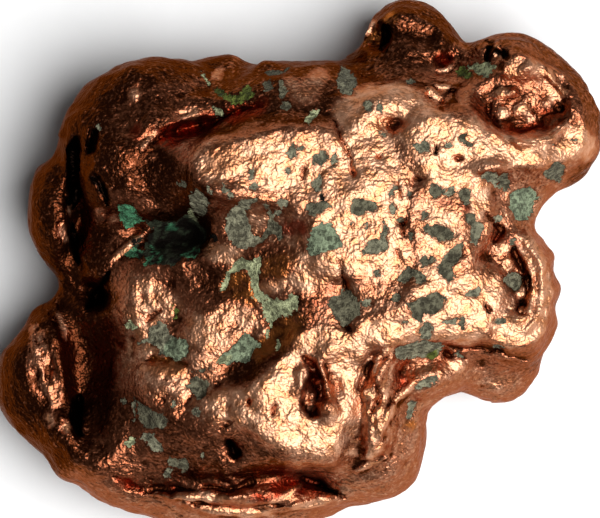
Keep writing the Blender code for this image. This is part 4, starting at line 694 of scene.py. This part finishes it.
def swing(points, size, reach, seed):
    """How far the places seen at these points swing in X and Y."""
    return reach * np.stack([lattice_noise(points, size, seed + axis) for axis in range(2)], axis=1)


def swung(points, size, reach, seed):
    """The points' x and y after their swing."""
    return points[:, :2] + swing(points, size, reach, seed)


def ragged(points, seed):
    """The points' x and y after swings at several scales."""
    seen = points[:, :2].copy()
    for size, reach in RAGGED:
        seed += 2
        seen += swing(points, size, reach, seed)
    return seen


def stroke_height(seen, profile, path):
    """The height that one stroke gives each (x, y)."""
    height = np.zeros(len(seen))
    path = np.array(path, float)
    ends = path[1:] if len(path) > 1 else path
    for start, end in zip(path, ends):
        along = end[:2] - start[:2]
        length = max(float(along @ along), 1e-9)
        t = np.clip(((seen - start[:2]) @ along) / length, 0.0, 1.0)
        gap = np.linalg.norm(seen - start[:2] - t[:, None] * along, axis=1)
        reach = start[2] + t * (end[2] - start[2])
        depth = start[3] + t * (end[3] - start[3])
        here = depth * PROFILES[profile](np.clip(gap / reach, 0.0, 1.0))
        height = np.where(np.abs(here) > np.abs(height), here, height)
    return height


def ellipse_distance(seen, x, y, half_length, half_width, turn):
    """Distance from the middle of an ellipse, which is 1 at its edge."""
    c, s = math.cos(math.radians(turn)), math.sin(math.radians(turn))
    u = ((seen[:, 0] - x) * c + (seen[:, 1] - y) * s) / half_length
    v = ((seen[:, 1] - y) * c - (seen[:, 0] - x) * s) / half_width
    return np.hypot(u, v)


class Skin:
    """The nugget's fine surface: points and normals in mm, and the values painted on them."""

    def __init__(self, obj):
        self.obj = obj
        mesh = obj.data
        count = len(mesh.vertices)
        points = np.empty(count * 3, np.float32)
        mesh.vertices.foreach_get("co", points)
        self.points = points.reshape(-1, 3).astype(float) / MM
        edges = np.empty(len(mesh.edges) * 2, np.int32)
        mesh.edges.foreach_get("vertices", edges)
        self.edges = edges.reshape(-1, 2)
        self.degree = np.bincount(self.edges.ravel(), minlength=count)
        self.refresh()

    def refresh(self):
        """Writes the points to the mesh and reads its normals."""
        mesh = self.obj.data
        mesh.vertices.foreach_set("co", (self.points * MM).astype(np.float32).ravel())
        mesh.update()
        normals = np.empty(len(self.points) * 3, np.float32)
        mesh.vertex_normals.foreach_get("vector", normals)
        self.normals = normals.reshape(-1, 3).astype(float)

    def facing(self, fade):
        """How much the surface faces up, from 0 to 1 over this range of its normal's Z."""
        return smooth_step(*fade, self.normals[:, 2])

    def averaged(self, values, rounds):
        """The values, each moved half-way to the mean of its neighbours, this many times."""
        a, b = self.edges.T
        values = values.astype(float)
        for _ in range(rounds):
            total = np.stack([
                np.bincount(a, column[b], len(values)) + np.bincount(b, column[a], len(values))
                for column in values.T
            ], axis=1)
            values = 0.5 * values + 0.5 * total / self.degree[:, None]
        return values

    def hollow(self, rounds):
        """How deep each point lies below the mean of its surroundings, along its normal."""
        return ((self.averaged(self.points, rounds) - self.points) * self.normals).sum(axis=1)

    def lift(self, height):
        """Moves each point along Z where the surface faces up."""
        self.points[:, 2] += height * self.facing(MOVED)
        self.refresh()

    def push(self, height):
        """Moves each point along its normal."""
        self.points += self.normals * height[:, None]
        self.refresh()

    def settle(self):
        """Brings what the grain pushed under the ground back to it."""
        self.points[:, 2] = np.maximum(self.points[:, 2], 0.0)
        self.refresh()

    def paint(self, name, values):
        attribute = self.obj.data.attributes.new(name, "FLOAT", "POINT")
        attribute.data.foreach_set("value", values.astype(np.float32))

    def paint_colour(self, name, colours):
        attribute = self.obj.data.attributes.new(name, "FLOAT_COLOR", "POINT")
        filled = np.concatenate([colours, np.ones((len(colours), 1))], axis=1)
        attribute.data.foreach_set("color", filled.astype(np.float32).ravel())


def make_skin():
    """A copy of the solid with an even, fine and softened mesh."""
    obj = bpy.data.objects.new("nugget_skin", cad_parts[NODE].data.copy())
    bpy.context.scene.collection.objects.link(obj)
    fine = obj.modifiers.new("fine", "REMESH")
    fine.mode = "VOXEL"
    fine.voxel_size = SKIN_VOXEL * MM
    soften = obj.modifiers.new("soften", "SMOOTH")
    soften.factor = 0.5
    soften.iterations = SKIN_SMOOTHING
    graph = bpy.context.evaluated_depsgraph_get()
    mesh = bpy.data.meshes.new_from_object(obj.evaluated_get(graph))
    obj.modifiers.clear()
    obj.data = mesh
    mesh.materials.clear()
    mesh.shade_smooth()
    return Skin(obj)


def zone(skin, rows, seed, fade=COLOURED):
    """How strongly each point lies in the soft zones of a table, less as it faces down."""
    seen = ragged(skin.points, SEEDS[seed])
    total = np.zeros(len(seen))
    for _, strength, *paths in rows:
        for path in paths:
            widened = [(x, y, SOFT_EDGE * reach, strength) for x, y, reach in path]
            total = np.maximum(total, stroke_height(seen, PIT, widened))
    return total * skin.facing(fade)


def nick(skin):
    """Moves the sides in or out at the nicks and points of the outline, at every height."""
    for x, y, reach, push_x, push_y in NICKS:
        near = stroke_height(skin.points[:, :2], SWELL, ((x, y, reach, 1.0),))
        skin.points[:, 0] += push_x * near
        skin.points[:, 1] += push_y * near
    skin.refresh()


def wear(skin, strength, rounds):
    """Wears down what stands up and fills what dips, where the copper is bright."""
    worn = strength * zone(skin, WORN_BRIGHT_AND_HIGHLIGHTS, "bright")
    even = skin.averaged(skin.points[:, 2:], rounds)[:, 0]
    skin.points[:, 2] += worn * (even - skin.points[:, 2])
    skin.refresh()


def press(skin, facets, seen):
    """Presses places of the top towards tilted planes through their own mean height."""
    for _, *ellipse, right, front, strength in facets:
        near = strength * (1.0 - smooth_step(*FACET_FADE, ellipse_distance(seen, *ellipse)))
        near *= skin.facing(MOVED)
        plane = math.tan(math.radians(front)) * (skin.points[:, 1] - ellipse[1])
        plane -= math.tan(math.radians(right)) * (skin.points[:, 0] - ellipse[0])
        middle = (near * (skin.points[:, 2] - plane)).sum() / near.sum()
        skin.points[:, 2] += near * (middle + plane - skin.points[:, 2])
    skin.refresh()


def carve(skin):
    """Works the broad forms, then the fine cracks, ledges, pits and knobs, into the top."""
    knobs = [("knobs", SWELL, *([place] for place in places)) for _, *places in KNOBS]
    for rows in (FORM, [*FINE, *knobs]):
        seen = ragged(skin.points, SEEDS["strokes"])
        skin.lift(sum(stroke_height(seen, profile, path) for _, profile, *paths in rows for path in paths))


def chips_bare_and_highlit(skin):
    """How strongly each point lies on a chip, which is painted bare copper: partly wear and partly painted
    highlight.
    """
    seen = swung(skin.points, *CHIP_SWING, SEEDS["chips"])
    total = np.zeros(len(seen))
    for _, *ellipse, _, _, strength in CHIPS:
        near = 1.0 - smooth_step(*CHIP_FADE, ellipse_distance(seen, *ellipse))
        total = np.maximum(total, strength * near)
    return total * skin.facing(COLOURED)


def outline_field(seen, ends):
    """Signed distance to a closed outline, positive inside."""
    nearest = np.full(len(seen), FAR)
    inside = np.zeros(len(seen), bool)
    for start, end in zip(ends, np.roll(ends, -1, axis=0)):
        along = end - start
        t = np.clip(((seen - start) @ along) / float(along @ along), 0.0, 1.0)
        nearest = np.minimum(nearest, np.linalg.norm(seen - start - t[:, None] * along, axis=1))
        spans = (start[1] > seen[:, 1]) != (end[1] > seen[:, 1])
        if spans.any():
            crossing = start[0] + along[0] * (seen[:, 1] - start[1]) / along[1]
            inside ^= spans & (seen[:, 0] < crossing)
    return np.where(inside, nearest, -nearest)


def speck_field(seen, x, y, half_length, half_width, turn):
    """Roughly the signed distance to the edge of an ellipse, positive inside."""
    distance = ellipse_distance(seen, x, y, half_length, half_width, turn)
    return (1.0 - distance) * min(half_length, half_width)


def pit_specks():
    """Rows like those of SPECKS: the many small crystals scattered over the stone pit."""
    x, y, half_length, half_width = STONE_PIT
    smallest, largest = CRYSTAL_LENGTH
    for number in range(PIT_SPECKS):
        chances = [hashed(np.array([[number, draw, 0]]), SEEDS["crystals"])[0] for draw in range(6)]
        angle, reach = 2.0 * math.pi * chances[0], math.sqrt(chances[1])
        place = (x + half_length * reach * math.cos(angle), y + half_width * reach * math.sin(angle))
        length = smallest + (largest - smallest) * chances[2] ** 2
        width = length * (0.5 + 0.5 * chances[3])
        yield (*place, length, width, 180.0 * chances[4], PIT_HUES[int(chances[5] * len(PIT_HUES))])


def patch_field(skin):
    """(signed distance to the edge of the mineral, positive inside; the mineral's colour)."""
    seen = swung(skin.points, *MINERAL_SWING, SEEDS["mineral"])
    seen += swing(skin.points, *MINERAL_FRAY, SEEDS["mineral fray"])
    fields = [(hue, outline_field(seen, np.reshape(corners, (-1, 2)))) for hue, *corners in OUTLINES]
    fields += [(hue, speck_field(seen, *ellipse)) for *ellipse, hue in (*SPECKS, *pit_specks())]
    inside = np.full(len(seen), -1.0)
    colour = np.tile(GREY, (len(seen), 1))
    for hue, here in fields:
        colour[(here > inside) | (here > 0.0)] = hue
        inside = np.maximum(inside, here)
    return np.where(skin.normals[:, 2] > MINERAL_FACING, inside, -1.0), colour


def raise_grain(skin, strength, crumbly):
    """Raises the rounded lumps and grains of native copper."""
    hammered = sum(height * lattice_noise(skin.points, size, seed) for size, height, seed in HAMMERED)
    grains = sum(
        height * (GRAIN_LEVEL - cell_noise(skin.points, size, seed) ** 2)
        for size, height, seed in GRAINS
    )
    skin.push(strength * (hammered + crumbly * grains))


def shape_skin(skin):
    """Works the relief into the skin and returns the field and the colour of its mineral."""
    nick(skin)
    wear(skin, *WORN_FIRST)
    press(skin, FACETS, swung(skin.points, *FACET_SWING, SEEDS["facets"]))
    wear(skin, *WORN_LAST)
    carve(skin)
    press(skin, CHIPS, swung(skin.points, *CHIP_SWING, SEEDS["chips"]))
    inside, colour = patch_field(skin)
    mineral = smooth_step(*PATCH_BANK, inside)
    skin.push(-PATCH_DEPTH * mineral)
    raise_grain(skin, 1.0 - MINERAL_CALM * mineral, zone(skin, CRUMBS, "crumbs"))
    skin.settle()
    return inside, colour


def tarnish_and_shade_level(skin):
    """How tarnished and how shaded each point is painted: 0 is bare copper, 1 is brown and more is darker
    still. Its zones are partly tarnished copper and partly painted shade where the surface faces away from
    the key lamp.
    """
    zones = zone(skin, TARNISH_AND_SHADE, "tarnish_and_shade", TARNISHED_AND_SHADED)
    level = DULL + (1.0 - DULL) * np.minimum(zones, 1.0) + DARKENING * np.maximum(zones - 1.0, 0.0)
    # Painted shade: the steep sides are painted darker.
    level += STEEP_SIDE_SHADE * skin.facing(STEEP)
    # The bright zones and the chips make the copper bare: partly wear and partly painted highlight.
    return level * (1.0 - np.maximum(zone(skin, WORN_BRIGHT_AND_HIGHLIGHTS, "bright"), chips_bare_and_highlit(skin)))


def painted_shade_rows():
    """The places painted nearly black as shade, with the fine strokes painted black inside as shade."""
    insides = [
        (name, DARK_INSIDE[name], *([place[:3] for place in path] for path in paths))
        for name, _, *paths in FINE
        if name in DARK_INSIDE
    ]
    return (*PAINTED_SHADES, *insides)


def paint_skin(skin, inside, colour):
    """Paints what the material reads."""
    skin.paint("patch", np.clip(inside, -1.0, 1.0))
    skin.paint_colour("patch_hue", colour)
    skin.paint("wide_hollow", skin.hollow(WIDE_HOLLOW))
    skin.paint("fine_hollow", skin.hollow(FINE_HOLLOW))
    skin.paint("tarnish_and_shade", tarnish_and_shade_level(skin))
    skin.paint("red_stain", zone(skin, RED_STAINS, "red"))
    skin.paint("orange_stain", zone(skin, ORANGE_STAINS, "orange"))
    # Painted shade: how near-black each point is painted.
    skin.paint("black", zone(skin, painted_shade_rows(), "black"))


class Nodes:
    """Short calls for the nodes of one material."""

    def __init__(self, name):
        self.material = bpy.data.materials.new(name)
        self.material.use_nodes = True
        self.tree = self.material.node_tree
        self.shader = self.tree.nodes["Principled BSDF"]
        self.place = self.tree.nodes.new("ShaderNodeTexCoord").outputs["Object"]

    def link(self, value, socket):
        if isinstance(value, bpy.types.NodeSocket):
            self.tree.links.new(value, socket)
        else:
            socket.default_value = value

    def attribute(self, name, output="Fac"):
        node = self.tree.nodes.new("ShaderNodeAttribute")
        node.attribute_name = name
        return node.outputs[output]

    def noise(self, size, detail, roughness=0.5):
        """Noise with features of this size, from 0 to 1."""
        node = self.tree.nodes.new("ShaderNodeTexNoise")
        self.link(self.place, node.inputs["Vector"])
        node.inputs["Scale"].default_value = 1.0 / (size * MM)
        node.inputs["Detail"].default_value = detail
        node.inputs["Roughness"].default_value = roughness
        return node.outputs["Fac"]

    def math(self, operation, *values):
        node = self.tree.nodes.new("ShaderNodeMath")
        node.operation = operation
        for value, socket in zip(values, node.inputs):
            self.link(value, socket)
        return node.outputs[0]

    def added(self, value, amount, base):
        """The base, with this amount of the value added."""
        return self.math("MULTIPLY_ADD", value, amount, base)

    def varied(self, noise, amount, base):
        """The base, moved evenly up and down by noise that runs from 0 to 1."""
        return self.added(self.math("SUBTRACT", noise, 0.5), amount, base)

    def ramp(self, value, low, high, top=1.0):
        """From 0 to the top as the value goes from low to high."""
        node = self.tree.nodes.new("ShaderNodeMapRange")
        node.interpolation_type = "SMOOTHSTEP"
        for name, number in (("Value", value), ("From Min", low), ("From Max", high), ("To Max", top)):
            self.link(number, node.inputs[name])
        return node.outputs[0]

    def blend(self, factor, first, second):
        """From the first to the second colour or number."""
        node = self.tree.nodes.new("ShaderNodeMix")
        coloured = ("RGBA", "VECTOR")
        colour = any(isinstance(v, tuple) or getattr(v, "type", "") in coloured for v in (first, second))
        node.data_type = "RGBA" if colour else "FLOAT"
        kind = "Color" if colour else "Float"
        named = {s.identifier: s for s in node.inputs}
        self.link(factor, named["Factor_Float"])
        for value, end in ((first, f"A_{kind}"), (second, f"B_{kind}")):
            self.link((*value, 1.0) if isinstance(value, tuple) else value, named[end])
        return next(s for s in node.outputs if s.identifier == f"Result_{kind}")

    def scaled(self, colour, amount):
        """The colour, made this many times as light."""
        node = self.tree.nodes.new("ShaderNodeVectorMath")
        node.operation = "SCALE"
        self.link(colour, node.inputs[0])
        node.inputs["Scale"].default_value = amount
        return node.outputs[0]

    def bump(self, height, depth, under=None):
        """A bump this deep, on top of another one."""
        node = self.tree.nodes.new("ShaderNodeBump")
        node.inputs["Distance"].default_value = depth * MM
        self.link(height, node.inputs["Height"])
        if under is not None:
            self.link(under, node.inputs["Normal"])
        return node.outputs["Normal"]


def nugget_material():
    n = Nodes("native_copper")
    fine = n.noise(0.28, 3.0)
    middle = n.noise(0.8, 3.0)
    broad = n.noise(3.0, 2.0)

    # Mineral: its edge is broken up more finely than the mesh can hold, and the rim is the copper there,
    # painted with a shadow along the mineral's edge.
    edge = n.varied(fine, 0.55, n.attribute("patch"))
    mineral = n.ramp(edge, -0.01, 0.03)
    bare = n.math("SUBTRACT", 1.0, mineral)
    rim = n.math("MULTIPLY", n.ramp(edge, -0.14, -0.02), bare)

    # Tarnished copper and painted shade: patchy at two scales, darker in the hollows, partly as patina and
    # partly as painted shade, and less in small specks.
    tarnish_and_shade = n.varied(broad, 0.5, n.attribute("tarnish_and_shade"))
    tarnish_and_shade = n.varied(fine, 0.7, tarnish_and_shade)
    # Painted shade in wide and fine hollows, which also stands for patina there.
    tarnish_and_shade = n.added(n.ramp(n.attribute("wide_hollow"), 0.05, 0.5), 0.6, tarnish_and_shade)
    tarnish_and_shade = n.added(n.ramp(n.attribute("fine_hollow"), 0.01, 0.07), 0.7, tarnish_and_shade)
    tarnish_and_shade = n.added(n.ramp(n.noise(0.22, 1.0), 0.52, 0.68), -0.3, tarnish_and_shade)
    brownness = n.ramp(tarnish_and_shade, 0.1, 1.0)

    # Copper: bare, brown or deeply tarnished, with painted shade in the darkest step, then what lies on it.
    bare_copper = n.blend(n.ramp(middle, 0.3, 0.7), *BARE_COPPER)
    copper = n.blend(brownness, bare_copper, n.blend(middle, *BROWN_COPPER))
    copper = n.blend(n.ramp(tarnish_and_shade, 0.95, 1.45), copper, DEEP_TARNISH_AND_SHADE)
    patchy = n.ramp(middle, 0.3, 0.55)
    for stain, hue in (("red_stain", RED_OXIDE), ("orange_stain", RUST)):
        copper = n.blend(n.math("MULTIPLY", n.attribute(stain), patchy), copper, hue)
    # Painted shadow along the copper rim round the mineral.
    copper = n.blend(n.math("MULTIPLY", rim, 0.45), copper, PATCH_EDGE_SHADOW)
    # Painted shade: near-black in shaded places and inside cracks and holes.
    black = n.added(n.math("ADD", fine, middle), 0.6, n.attribute("black"))
    copper = n.blend(n.ramp(black, 0.85, 1.35), copper, PAINTED_SHADE_BLACK)

    # Stone: light and dark crumbs of one hue, with darker patches.
    hue = n.attribute("patch_hue", "Color")
    crumb = n.noise(0.4, 4.0, 0.65)
    dark = n.scaled(hue, 0.4)
    stone = n.blend(n.ramp(crumb, 0.40, 0.62), dark, n.scaled(hue, 1.7))
    stone = n.blend(n.ramp(middle, 0.45, 0.7, 0.6), stone, dark)

    n.link(n.blend(mineral, copper, stone), n.shader.inputs["Base Color"])
    n.link(bare, n.shader.inputs["Metallic"])
    rough = n.varied(middle, ROUGH_SWING, n.blend(brownness, BARE_ROUGH, BROWN_ROUGH))
    n.link(n.blend(mineral, rough, MINERAL_ROUGH), n.shader.inputs["Roughness"])
    n.shader.inputs["Specular IOR Level"].default_value = 0.25
    n.shader.inputs["Specular Tint"].default_value = GRAZING_TINT

    normal = None
    for size, detail, depth in FINE_GRAIN:
        normal = n.bump(n.noise(size, detail), depth, normal)
    normal = n.bump(n.math("MULTIPLY", crumb, mineral), MINERAL_GRAIN, normal)
    normal = n.bump(mineral, MINERAL_SINK, normal)
    n.link(normal, n.shader.inputs["Normal"])
    return n.material


def floor_material():
    n = Nodes("pale_floor")
    n.link(n.blend(n.noise(2.0, 4.0), *FLOOR_TONES), n.shader.inputs["Base Color"])
    n.shader.inputs["Roughness"].default_value = FLOOR_ROUGH
    return n.material


def make_camera():
    waist = (CAD_BOX[0].z + CAD_BOX[1].z) / 2.0 / MM
    data = bpy.data.cameras.new("camera")
    data.lens, data.sensor_width = LENS, SENSOR
    data.clip_start, data.clip_end = 0.01, 10.0
    camera = bpy.data.objects.new("camera", data)
    bpy.context.scene.collection.objects.link(camera)
    camera.location = Vector((*VIEW_MIDDLE, VIEW_WIDTH * LENS / SENSOR + waist)) * MM
    bpy.context.scene.camera = camera


def make_lamp(name, direction, distance, size, power):
    light = bpy.data.lights.new(name, "AREA")
    light.shape = "DISK"
    light.size, light.energy = size, power
    obj = bpy.data.objects.new(name, light)
    bpy.context.scene.collection.objects.link(obj)
    away = Vector(direction).normalized()
    obj.location = away * distance
    obj.rotation_euler = away.to_track_quat("Z", "Y").to_euler()
    obj.visible_camera = False


def make_stage():
    bpy.ops.mesh.primitive_plane_add(size=FLOOR_SIZE)
    floor = bpy.context.object
    floor.name = "floor"
    floor.data.materials.append(floor_material())
    for lamp in LAMPS:
        make_lamp(*lamp)
    world = bpy.data.worlds.new("room")
    bpy.context.scene.world = world
    world.use_nodes = True
    world.node_tree.nodes["Background"].inputs["Color"].default_value = ROOM_LIGHT
    bpy.context.scene.view_settings.view_transform = "Standard"


skin = make_skin()
paint_skin(skin, *shape_skin(skin))
skin.obj.data.materials.append(nugget_material())
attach(skin.obj, "root")
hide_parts(NODE)
make_stage()
make_camera()
